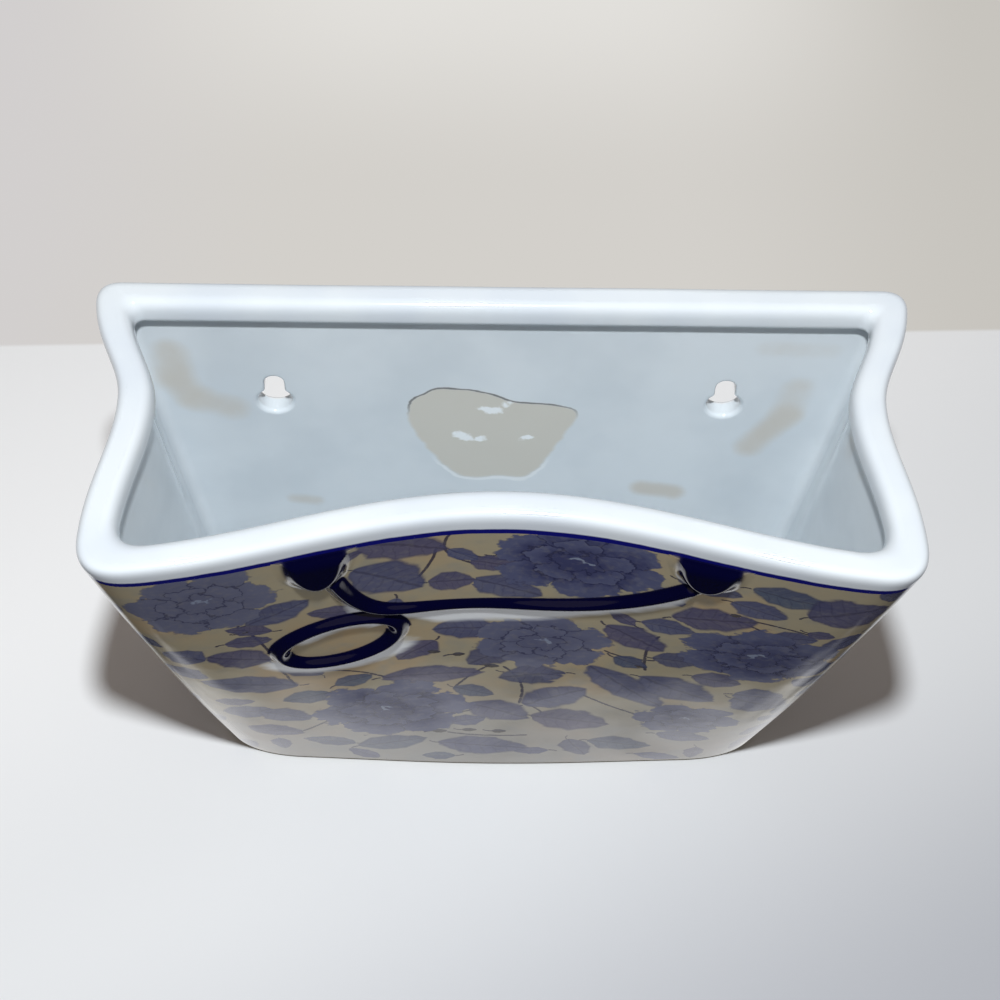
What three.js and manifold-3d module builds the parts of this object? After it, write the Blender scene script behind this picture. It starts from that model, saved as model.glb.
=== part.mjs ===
// Porcelain wall pocket in the form of a shopping bag with a moulded rope handle.
// Millimetres, +Z up. The pocket stands on its base at z = 0, its back wall faces +Y and its front -Y.
// Plan positions are given as x, the distance from the middle, and q, the depth in front of the back wall.

import * as THREE from 'three';
import { mergeVertices } from 'three/addons/utils/BufferGeometryUtils.js';
import Module from 'manifold-3d';

const wasm = await Module();
wasm.setup();

// Overall and wall sizes
const HEIGHT = 172;
const WALL = 6;
const BASE_THICKNESS = 6;
const BASE_CHAMFER = 0.8;
const WALL_BELLY = 0.7;
const JOINT_GAP = 0.3;

// Plan of the outside at the rim
const RIM_BACK_HALF = 111;
const RIM_FRONT_TAPER = 3.5;
const RIM_CORNER_DEPTH = 99;
const RIM_MIDDLE_DEPTH = 79.3;
const RIM_BACK_CORNER = 8;
const RIM_FRONT_CORNER = 13;
const RIM_FACE_CORNER = 13;
const WAIST_DEPTH = 40;
const WAIST_PINCH = 8;
const WAIST_POWER = 1.6;

// Plan of the outside at the table
const BASE_BACK_HALF = 83;
const BASE_FRONT_SPREAD = 3;
const BASE_CORNER_DEPTH = 47.5;
const BASE_MIDDLE_DEPTH = 50;
const BASE_BACK_CORNER = 9;
const BASE_FRONT_CORNER = 18;
const BASE_FACE_CORNER = 27;

// Joins between the back and front walls and the gussets
const BACK_RETURN = 14;
const FRONT_RETURN = 20;
const MIN_BACK_CORNER = 4;
const MIN_FRONT_CORNER = 10;

// Rolled lip
const LIP_WIDTH = 9.4;
const LIP_HEIGHT = 9;
const LIP_SHOULDER = 3;
const LIP_FULLNESS = 0.58;

// Keyholes for hanging
const KEYHOLE_SPACING = 128;
const KEYHOLE_HEIGHT = 127;
const KEYHOLE_EYE = 9.6;
const KEYHOLE_SLOT = 5.6;
const KEYHOLE_RISE = 7.6;

// Rope handle in relief on the front wall
const BOSS_LEFT_X = -48;
const BOSS_RIGHT_X = 53;
const BOSS_HALF_WIDTH = 8.2;
const BOSS_DROP = 18;
const BOSS_PROUD = 2.8;
const BOSS_SQUARENESS = 2.4;
const BOSS_FULLNESS = 0.45;
const BOSS_TIP_SHARE = 0.985;
const ROPE_WIDTH = 5;
const ROPE_PROUD = 2.3;
const RUN_LOW_X = -4;
const RUN_LOW_Z = 121.5;
const RUN_LEFT_CURL = 6.5;
const RUN_RIGHT_CURL = 2.9;
const RUN_LEFT_INSET = 4;
const RUN_RIGHT_INSET = 3.5;
const RUN_END_DROP = 18;
const LOOP_X = -44;
const LOOP_Z = 105.7;
const LOOP_LONG = 17.5;
const LOOP_SHORT = 12.6;
const LOOP_TILT = 30;
const LOOP_MEET = 0.08;
const RELIEF_EDGE = 0.6;

// Steps of the faceted surfaces
const LEVELS = 10;
const CORNER_STEPS = 7;
const RETURN_STEPS = 2;
const GUSSET_STEPS = 10;
const FRONT_STEPS = 14;
const BACK_STEPS = 2;
const LIP_STEPS = 14;
const ROPE_ARC_STEPS = 8;
const RUN_STEPS = 44;
const LOOP_STEPS = 40;
const BOSS_STEPS_ACROSS = 12;
const BOSS_STEPS_DOWN = 10;
const KEYHOLE_STEPS = 12;
const TRIM_SAMPLES = 400;
const BEAD_SAMPLES = 120;
const NORMAL_STEP = 0.05;
const MERGE_WITHIN = 1e-4;

const RIM_FRONT_HALF = RIM_BACK_HALF - RIM_FRONT_TAPER;
const BASE_FRONT_HALF = BASE_BACK_HALF + BASE_FRONT_SPREAD;
const LIP_BOTTOM = HEIGHT - LIP_HEIGHT;
const BOSS_TOP = LIP_BOTTOM - JOINT_GAP;
const CORNER_LOSS = (Math.SQRT2 - 1) / (Math.SQRT2 / 4);

const glaze = { color: 0xf2f6fa, roughness: 0.12, metalness: 0 };
const printed = { color: 0x5f5f70, roughness: 0.14, metalness: 0 };
const cobalt = { color: 0x0a0a46, roughness: 0.1, metalness: 0 };

const mix = (a, b, t) => a + (b - a) * t;

// Sizes of the outside's plan at height z: each size runs evenly from rim to base, plus a slight belly.
function planAt(z) {
  const fall = 1 - z / HEIGHT;
  const belly = WALL_BELLY * Math.sin(Math.PI * fall);
  const corner = mix(RIM_CORNER_DEPTH, BASE_CORNER_DEPTH, fall) + belly;
  return {
    back: mix(RIM_BACK_HALF, BASE_BACK_HALF, fall) + belly,
    front: mix(RIM_FRONT_HALF, BASE_FRONT_HALF, fall) + belly,
    corner,
    middle: mix(RIM_MIDDLE_DEPTH, BASE_MIDDLE_DEPTH, fall) + belly,
    pinch: mix(WAIST_PINCH, 0, fall),
    waist: WAIST_DEPTH * corner / RIM_CORNER_DEPTH,
    backCorner: mix(RIM_BACK_CORNER, BASE_BACK_CORNER, fall),
    frontCorner: mix(RIM_FRONT_CORNER, BASE_FRONT_CORNER, fall),
    faceCorner: mix(RIM_FACE_CORNER, BASE_FACE_CORNER, fall),
  };
}

// Half-width of the side wall at depth q: a straight chord drawn in by the power of a half wave on each side
// of the waist.
function sideWave(plan, q) {
  const reach = q < plan.waist ? plan.waist : plan.corner - plan.waist;
  return { reach, angle: Math.PI * Math.min(Math.abs(q - plan.waist) / reach, 1) };
}

function sideX(plan, q) {
  const chord = mix(plan.back, plan.front, q / plan.corner);
  return chord - plan.pinch * ((1 + Math.cos(sideWave(plan, q).angle)) / 2) ** WAIST_POWER;
}

// Change of that half-width with depth.
function sideSlope(plan, q) {
  const { reach, angle } = sideWave(plan, q);
  const power = WAIST_POWER * ((1 + Math.cos(angle)) / 2) ** (WAIST_POWER - 1);
  const wave = plan.pinch * power * Math.PI / (2 * reach) * Math.sin(angle);
  return (plan.front - plan.back) / plan.corner + Math.sign(q - plan.waist) * wave;
}

// Depth of the front wall at x: a half wave from the middle out to the corners.
function frontDepth(plan, x) {
  const share = Math.min(Math.abs(x) / plan.front, 1);
  return mix(plan.middle, plan.corner, (1 - Math.cos(Math.PI * share)) / 2);
}

// Change of that depth with x, on the right half.
function frontSlope(plan, x) {
  const share = Math.min(Math.abs(x) / plan.front, 1);
  return (plan.corner - plan.middle) * Math.PI / (2 * plan.front) * Math.sin(Math.PI * share);
}

// The same depth for a surface set inwards by inset, measured square to the wall.
function insetFrontDepth(plan, x, inset) {
  return frontDepth(plan, x) - inset * Math.hypot(1, frontSlope(plan, x));
}

function cornerTrim(outside, inset, least) {
  return Math.max(outside - CORNER_LOSS * inset, least);
}

// Where the side wall's tangent at a point meets a line of depth + slope * x, at which a corner's tangents meet.
function tangentCorner(plan, from, depth, slope) {
  const rise = sideSlope(plan, from.y);
  const x = (from.x + rise * (depth - from.y)) / (1 - rise * slope);
  return new THREE.Vector2(x, depth + slope * x);
}

// Points of a corner rounded by a quadratic curve that leaves each end along the wall there.
function cornerCurve(from, corner, to) {
  return new THREE.QuadraticBezierCurve(from, corner, to).getPoints(CORNER_STEPS);
}

function spread(from, to, steps, point) {
  return Array.from({ length: steps + 1 }, (_, i) => point(mix(from, to, i / steps)));
}

// Right half of the back wall, from its middle to its join with the gusset.
function backHalf(plan, inset, gap) {
  const trim = cornerTrim(plan.backCorner, inset, MIN_BACK_CORNER);
  const side = (q) => new THREE.Vector2(sideX(plan, q) - inset, q);
  const turn = side(inset + trim);
  const corner = tangentCorner(plan, turn, inset, 0);
  const from = new THREE.Vector2(corner.x - trim, inset);
  return [
    ...spread(0, from.x, BACK_STEPS, (x) => new THREE.Vector2(x, inset)),
    ...cornerCurve(from, corner, turn).slice(1),
    ...spread(inset + trim, BACK_RETURN - gap, RETURN_STEPS, side).slice(1),
  ];
}

// Right gusset, from the back join to the front join.
function gussetRun(plan, inset, gap) {
  const side = (q) => new THREE.Vector2(sideX(plan, q) - inset, q);
  return spread(BACK_RETURN + gap, plan.corner - FRONT_RETURN - gap, GUSSET_STEPS, side);
}

// Right half of the front wall, from its join with the gusset round the corner to its middle.
function frontHalf(plan, inset, gap) {
  const trim = cornerTrim(plan.frontCorner, inset, MIN_FRONT_CORNER);
  const side = (q) => new THREE.Vector2(sideX(plan, q) - inset, q);
  const face = (x) => new THREE.Vector2(x, insetFrontDepth(plan, x, inset));
  const turn = plan.corner - inset - trim;
  const faceTrim = cornerTrim(plan.faceCorner, inset, MIN_FRONT_CORNER);
  const faceEnd = face(plan.front - inset - faceTrim);
  const slope = frontSlope(plan, faceEnd.x);
  const corner = tangentCorner(plan, side(turn), faceEnd.y - slope * faceEnd.x, slope);
  return [
    ...spread(plan.corner - FRONT_RETURN + gap, turn, RETURN_STEPS, side),
    ...cornerCurve(side(turn), corner, faceEnd).slice(1),
    ...spread(faceEnd.x, 0, FRONT_STEPS, face).slice(1),
  ];
}

function mirrored(points) {
  return points.map((p) => new THREE.Vector2(-p.x, p.y));
}

// Whole outline of the pocket, closed, set inwards by inset.
function wholeOutline(plan, inset) {
  const right = [
    ...backHalf(plan, inset, 0),
    ...gussetRun(plan, inset, 0).slice(1),
    ...frontHalf(plan, inset, 0).slice(1),
  ];
  return [...right, ...mirrored(right).reverse().slice(1, -1)];
}

const DEPTH = Math.max(...wholeOutline(planAt(HEIGHT), 0).map((p) => p.y));

function place(point, z) {
  return new THREE.Vector3(point.x, DEPTH / 2 - point.y, z);
}

// Triangles of a grid of rows; a row or the stack of rows may close on itself.
function gridFaces(rows, columns, rowsClose, columnsClose) {
  const faces = [];
  for (let r = 0; r < rows - (rowsClose ? 0 : 1); r += 1) {
    for (let c = 0; c < columns - (columnsClose ? 0 : 1); c += 1) {
      const next = (r + 1) % rows;
      const beside = (c + 1) % columns;
      const [a, b] = [r * columns + c, r * columns + beside];
      const [d, e] = [next * columns + c, next * columns + beside];
      faces.push(a, b, e, a, e, d);
    }
  }
  return faces;
}

// Closed geometry from points and faces, turned so that the faces point out.
function closedGeometry(points, faces) {
  let volume = 0;
  for (let i = 0; i < faces.length; i += 3) {
    const [a, b, c] = [points[faces[i]], points[faces[i + 1]], points[faces[i + 2]]];
    volume += a.dot(b.clone().cross(c));
  }
  const geometry = new THREE.BufferGeometry().setFromPoints(points);
  geometry.setIndex(volume > 0 ? faces : [...faces].reverse());
  return geometry;
}

// A slab from loops of the same number of points: each loop runs out along one face and back along the other.
function slab(loops) {
  const count = loops[0].length;
  const half = count / 2;
  const points = loops.flat();
  const faces = gridFaces(loops.length, count, false, true);
  const top = (loops.length - 1) * count;
  for (let i = 0; i < half - 1; i += 1) {
    const [a, b, c, d] = [i, i + 1, count - 2 - i, count - 1 - i];
    faces.push(a, c, b, a, d, c);
    faces.push(top + a, top + b, top + c, top + a, top + c, top + d);
  }
  return closedGeometry(points, faces);
}

function solidOf(geometry) {
  const bare = geometry.clone();
  bare.deleteAttribute('normal');
  bare.deleteAttribute('uv');
  const merged = mergeVertices(bare, MERGE_WITHIN);
  return new wasm.Manifold(new wasm.Mesh({
    numProp: 3,
    vertProperties: new Float32Array(merged.attributes.position.array),
    triVerts: new Uint32Array(merged.index.array),
  }));
}

function geometryOf(solid) {
  const mesh = solid.getMesh();
  const geometry = new THREE.BufferGeometry();
  geometry.setAttribute('position', new THREE.BufferAttribute(mesh.vertProperties, 3));
  geometry.setIndex(new THREE.BufferAttribute(mesh.triVerts, 1));
  return geometry;
}

// A wall between two outlines, from the top of the base to the underside of the lip.
function wall(outlineAt) {
  const low = BASE_THICKNESS + JOINT_GAP;
  const high = LIP_BOTTOM - JOINT_GAP;
  return slab(spread(low, high, LEVELS, (z) => {
    const plan = planAt(z);
    const outside = outlineAt(plan, 0).map((p) => place(p, z));
    const inside = outlineAt(plan, WALL).map((p) => place(p, z));
    return [...outside, ...inside.reverse()];
  }));
}

// Keyhole cutter: a round eye with a narrower slot above it for the screw's shank.
function keyholeCutter(x) {
  const eye = KEYHOLE_EYE / 2;
  const slot = KEYHOLE_SLOT / 2;
  const meet = Math.asin(slot / eye);
  const shape = new THREE.Shape();
  shape.absarc(0, 0, eye, Math.PI / 2 + meet, Math.PI * 2.5 - meet);
  shape.absarc(0, KEYHOLE_RISE, slot, 0, Math.PI);
  shape.closePath();
  const through = WALL * 2;
  const options = { depth: through, bevelEnabled: false, curveSegments: KEYHOLE_STEPS };
  const cutter = new THREE.ExtrudeGeometry(shape, options);
  cutter.rotateX(Math.PI / 2);
  cutter.translate(x, DEPTH / 2 + (through - WALL) / 2, KEYHOLE_HEIGHT);
  return solidOf(cutter);
}

function backPanel() {
  const panel = wall((plan, inset) => {
    const right = backHalf(plan, inset, JOINT_GAP / 2);
    return [...mirrored(right).reverse(), ...right.slice(1)];
  });
  let solid = solidOf(panel);
  for (const side of [-1, 1]) {
    solid = solid.subtract(keyholeCutter(side * KEYHOLE_SPACING / 2));
  }
  return geometryOf(solid);
}

function frontPanel() {
  return wall((plan, inset) => {
    const right = frontHalf(plan, inset, JOINT_GAP / 2);
    return [...right, ...mirrored(right).reverse().slice(1)];
  });
}

function gusset(side) {
  return wall((plan, inset) => {
    const run = gussetRun(plan, inset, JOINT_GAP / 2);
    return side > 0 ? run : mirrored(run);
  });
}

// Base plate over the whole footprint, its lower edge chamfered.
function basePlate() {
  const steps = [[0, BASE_CHAMFER], [BASE_CHAMFER, 0], [BASE_THICKNESS, 0]];
  const loops = steps.map(([z, inset]) => wholeOutline(planAt(z), inset).map((p) => place(p, z)));
  const count = loops[0].length;
  const points = loops.flat();
  const faces = gridFaces(loops.length, count, false, true);
  for (const [level, turn] of [[0, -1], [loops.length - 1, 1]]) {
    const ring = loops[level];
    const centre = points.length;
    points.push(place(new THREE.Vector2(0, planAt(0).corner / 2), ring[0].z));
    for (let i = 0; i < count; i += 1) {
      const [a, b] = [level * count + i, level * count + (i + 1) % count];
      faces.push(...(turn > 0 ? [centre, a, b] : [centre, b, a]));
    }
  }
  return closedGeometry(points, faces);
}

// Section of the lip as inset and height: a full, flattened round over a straight outer edge, rolled over the
// wall inside.
function lipSection() {
  const middle = LIP_WIDTH / 2;
  const rise = LIP_HEIGHT - LIP_SHOULDER;
  const round = spread(0, Math.PI, LIP_STEPS, (a) => {
    const across = Math.sign(Math.cos(a)) * Math.abs(Math.cos(a)) ** LIP_FULLNESS;
    return [middle - middle * across, LIP_SHOULDER + rise * Math.abs(Math.sin(a)) ** LIP_FULLNESS];
  });
  return [[0, 0], ...round, [WALL, 0]];
}

function rimLip() {
  const rings = lipSection().map(([inset, rise]) => {
    const z = LIP_BOTTOM + rise;
    return wholeOutline(planAt(z), inset).map((p) => place(p, z));
  });
  const faces = gridFaces(rings.length, rings[0].length, true, true);
  return closedGeometry(rings.flat(), faces);
}

// Point of the front wall's outside at x and z, and its outward normal there.
function onFront(x, z) {
  return place(new THREE.Vector2(x, frontDepth(planAt(z), x)), z);
}

function frontNormal(x, z) {
  const across = onFront(x + NORMAL_STEP, z).sub(onFront(x - NORMAL_STEP, z));
  const up = onFront(x, z + NORMAL_STEP).sub(onFront(x, z - NORMAL_STEP));
  return across.cross(up).normalize();
}

// A rope in relief along a route of x and z on the front wall: half-round, with a flat back.
function reliefRope(route, [from, to], steps) {
  const rows = spread(from, to, steps, (t) => {
    const here = route.getPoint(t);
    const ahead = here.clone().add(route.getTangent(t));
    const centre = onFront(here.x, here.y);
    const normal = frontNormal(here.x, here.y);
    const along = onFront(ahead.x, ahead.y).sub(centre).normalize();
    const beside = normal.clone().cross(along).normalize();
    return spread(0, Math.PI, ROPE_ARC_STEPS, (a) => centre.clone()
      .addScaledVector(beside, ROPE_WIDTH / 2 * Math.cos(a))
      .addScaledVector(normal, JOINT_GAP + ROPE_PROUD * Math.sin(a)));
  });
  const count = ROPE_ARC_STEPS + 1;
  const faces = gridFaces(rows.length, count, false, true);
  for (const [row, turn] of [[0, 1], [rows.length - 1, -1]]) {
    for (let i = 1; i < count - 1; i += 1) {
      const [a, b, c] = [row * count, row * count + i, row * count + i + 1];
      faces.push(...(turn > 0 ? [a, c, b] : [a, b, c]));
    }
  }
  return closedGeometry(rows.flat(), faces);
}

// First and last share of a route at which the rope's whole width is clear of what it meets.
function clearSpan(route, isClear) {
  const shares = spread(0, 1, TRIM_SAMPLES, (t) => t).filter((t) => {
    const here = route.getPoint(t);
    const ahead = route.getTangent(t);
    const beside = new THREE.Vector2(-ahead.y, ahead.x).multiplyScalar(ROPE_WIDTH / 2);
    return [-1, 0, 1].every((side) => isClear(here.clone().addScaledVector(beside, side)));
  });
  return [shares[0], shares[shares.length - 1]];
}

// A boss's half-width at v, its share of the drop from the lip to its tip.
function bossHalf(v) {
  return BOSS_HALF_WIDTH * Math.max(1 - v ** BOSS_SQUARENESS, 0) ** (1 / BOSS_SQUARENESS);
}

// A boss: a tongue that hangs from the lip, full height at the top and rounded off below.
function handleBoss(centreX) {
  const loops = spread(0, BOSS_TIP_SHARE, BOSS_STEPS_DOWN, (v) => {
    const half = bossHalf(v);
    const z = BOSS_TOP - BOSS_DROP * v;
    const outside = spread(-1, 1, BOSS_STEPS_ACROSS, (u) => {
      const fullness = ((1 - Math.abs(u) ** BOSS_SQUARENESS) * (1 - v ** BOSS_SQUARENESS)) ** BOSS_FULLNESS;
      const x = centreX + half * u;
      const proud = mix(RELIEF_EDGE, BOSS_PROUD, fullness);
      return onFront(x, z).addScaledVector(frontNormal(x, z), JOINT_GAP + proud);
    });
    const back = spread(-1, 1, BOSS_STEPS_ACROSS, (u) => {
      const x = centreX + half * u;
      return onFront(x, z).addScaledVector(frontNormal(x, z), JOINT_GAP);
    });
    return [...outside, ...back.reverse()];
  });
  return slab(loops);
}

// The handle's run: it hangs low near the middle and curls up at each end into a boss.
class HandleRun extends THREE.Curve {
  getPoint(t) {
    const left = BOSS_LEFT_X + RUN_LEFT_INSET;
    const right = BOSS_RIGHT_X - RUN_RIGHT_INSET;
    const x = mix(left, right, t);
    const onLeft = x < RUN_LOW_X;
    const share = (x - RUN_LOW_X) / ((onLeft ? left : right) - RUN_LOW_X);
    const curl = onLeft ? RUN_LEFT_CURL : RUN_RIGHT_CURL;
    return new THREE.Vector2(x, mix(RUN_LOW_Z, LIP_BOTTOM - RUN_END_DROP, share ** curl));
  }
}

function clearOfBosses(point) {
  const v = (BOSS_TOP - point.y) / (BOSS_DROP + JOINT_GAP);
  const reach = bossHalf(Math.max(v, 0)) + JOINT_GAP;
  const past = v >= 1;
  return past || [BOSS_LEFT_X, BOSS_RIGHT_X].every((x) => Math.abs(point.x - x) > reach);
}

function handleRun() {
  const run = new HandleRun();
  return reliefRope(run, clearSpan(run, clearOfBosses), RUN_STEPS);
}

// The loop of spare rope below the run: an oval that starts and ends at its share of a turn nearest the run.
class HandleLoop extends THREE.Curve {
  getPoint(t) {
    const angle = (t + LOOP_MEET) * Math.PI * 2;
    return new THREE.Vector2(LOOP_LONG * Math.cos(angle), LOOP_SHORT * Math.sin(angle))
      .rotateAround(new THREE.Vector2(), THREE.MathUtils.degToRad(LOOP_TILT))
      .add(new THREE.Vector2(LOOP_X, LOOP_Z));
  }
}

function handleLoop() {
  const loop = new HandleLoop();
  const beads = new HandleRun().getPoints(BEAD_SAMPLES);
  const reach = ROPE_WIDTH / 2 + JOINT_GAP;
  return reliefRope(loop, clearSpan(loop, (p) => beads.every((b) => b.distanceTo(p) > reach)), LOOP_STEPS);
}

function addPart(group, name, geometry, finish) {
  const mesh = new THREE.Mesh(geometry, new THREE.MeshStandardMaterial(finish));
  mesh.name = name;
  geometry.computeVertexNormals();
  group.add(mesh);
}

const pocket = new THREE.Group();
pocket.name = 'wall_pocket';
addPart(pocket, 'base', basePlate(), printed);
addPart(pocket, 'back_panel', backPanel(), glaze);
addPart(pocket, 'left_gusset', gusset(-1), printed);
addPart(pocket, 'right_gusset', gusset(1), printed);
addPart(pocket, 'front_panel', frontPanel(), printed);
addPart(pocket, 'rim_lip', rimLip(), glaze);
addPart(pocket, 'left_handle_boss', handleBoss(BOSS_LEFT_X), cobalt);
addPart(pocket, 'right_handle_boss', handleBoss(BOSS_RIGHT_X), cobalt);
addPart(pocket, 'handle_run', handleRun(), cobalt);
addPart(pocket, 'handle_loop', handleLoop(), cobalt);

export default pocket;
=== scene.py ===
"""Looks of a porcelain wall pocket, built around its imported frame.

The pocket has the form of a paper shopping bag: a flat back with two keyholes, pinched sides, a front that
bows in at the middle of its rim, a thick rolled lip and a rope handle moulded on the front. Lengths are in
millimetres until a mesh is written, which turns them into metres. Places on the walls are given as x, the
distance from the middle, and q, the depth in front of the back plane, at a height z.
"""

import logging
import math
from collections.abc import Callable
from dataclasses import dataclass, field
from enum import Enum

import bpy
import numpy as np
from mathutils import Matrix, Vector


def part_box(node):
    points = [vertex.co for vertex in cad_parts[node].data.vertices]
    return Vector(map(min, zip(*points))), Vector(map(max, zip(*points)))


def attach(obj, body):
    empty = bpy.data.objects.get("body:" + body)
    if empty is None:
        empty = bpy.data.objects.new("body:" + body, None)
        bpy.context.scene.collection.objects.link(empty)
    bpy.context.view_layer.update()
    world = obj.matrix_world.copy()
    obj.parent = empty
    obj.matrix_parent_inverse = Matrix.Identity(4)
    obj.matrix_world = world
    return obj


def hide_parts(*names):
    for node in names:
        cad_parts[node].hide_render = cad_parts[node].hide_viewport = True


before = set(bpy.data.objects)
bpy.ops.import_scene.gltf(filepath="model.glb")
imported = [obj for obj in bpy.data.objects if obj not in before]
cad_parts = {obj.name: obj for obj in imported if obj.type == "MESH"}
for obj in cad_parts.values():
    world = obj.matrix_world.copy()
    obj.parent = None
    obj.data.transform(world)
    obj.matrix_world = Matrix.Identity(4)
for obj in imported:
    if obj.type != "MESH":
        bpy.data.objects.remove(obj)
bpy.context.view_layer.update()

LOG = logging.getLogger("wall_pocket")
MM = 0.001
BODY = "root"

Socket = bpy.types.NodeSocket
Material = bpy.types.Material
Array = np.ndarray
Pair = tuple[float, float]
Triple = tuple[float, float, float]
Surface = Callable[[Array, Array], Array]
Curve = Callable[[Array], tuple[Array, Array]]

# Levels that the frame gives
BACK_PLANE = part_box("back_panel")[1].y / MM
BASE_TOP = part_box("base")[1].z / MM
LIP_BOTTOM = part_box("rim_lip")[0].z / MM
LIP_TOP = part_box("rim_lip")[1].z / MM

# Units of s in one turn round the pocket, five on each side, and where the front's half begins
TURN = 10.0
FACE_FROM = 4.0

# What a corner's trim loses per millimetre of inset, so that the wall is as thick on the corner's diagonal
CORNER_LOSS = (math.sqrt(2.0) - 1.0) / (math.sqrt(2.0) / 4.0)

# Value of the attribute rim_rise far below the lip, where its blue line never reaches
NO_LINE = -99.0

# Value of the attribute scar on the scar's outline; it is zero on every other skin
SCAR_EDGE = 10.0

RELIEF_NODES = ("handle_run", "handle_loop", "left_handle_boss", "right_handle_boss")


class Skin(Enum):
    """Which face of a wall a patch of mesh belongs to."""

    OUTSIDE = 0
    INSIDE = 1
    EDGE = 2


class Motif(Enum):
    """Kinds of motif in the printed pattern, each with a mesh attribute of its own."""

    STEM = "stem"
    LEAF_UNDER = "leaf_under"
    LEAF_OVER = "leaf_over"
    BLOOM = "bloom"


def mix(a: Array, b: Array, share: Array) -> Array:
    """Return the value at share of the way from a to b."""
    return a + (b - a) * share


def smooth_step(value: Array, low: float, high: float) -> Array:
    """Return 0 below low, 1 above high and the cubic 3t^2 - 2t^3 between them."""
    t = np.clip((value - low) / (high - low), 0.0, 1.0)
    return t * t * (3.0 - 2.0 * t)


def smooth_max(a: Array, b: Array, reach: float) -> Array:
    """Return the larger of a and b, with a round fillet where they differ by less than reach."""
    return np.maximum(a, b) + np.maximum(reach - np.abs(a - b), 0.0) ** 2 / (4.0 * reach)


def unit(vectors: Array) -> Array:
    """Return the vectors scaled to length one along their last axis."""
    length = np.linalg.norm(vectors, axis=-1, keepdims=True)
    return vectors / np.maximum(length, 1e-12)


def bezier(a: tuple, b: tuple, c: tuple, t: Array) -> list[Array]:
    """Return the two coordinates of the quadratic curve (1-t)^2 a + 2t(1-t) b + t^2 c."""
    return [(1 - t) ** 2 * a[i] + 2 * t * (1 - t) * b[i] + t * t * c[i] for i in range(2)]


def fold(s: Array) -> tuple[Array, Array]:
    """Return s folded onto the right half of the turn, and the sign of x where it was."""
    turn = np.mod(s, TURN)
    left = turn > TURN / 2
    return np.where(left, TURN - turn, turn), np.where(left, -1.0, 1.0)


def round_loop(corners: Array, steps: int = 6) -> Array:
    """Return a closed curve through the corners: a Catmull-Rom cubic over each side, in equal steps."""
    t = (np.arange(steps) / steps)[:, None]
    before, start, end, after = (np.roll(corners, k, axis=0)[:, None] for k in (1, 0, -1, -2))
    curve = start + t * (end - before) / 2 + t**2 * (before - 2.5 * start + 2 * end - after / 2)
    return (curve + t**3 * (1.5 * (start - end) + (after - before) / 2)).reshape(-1, 2)


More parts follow.
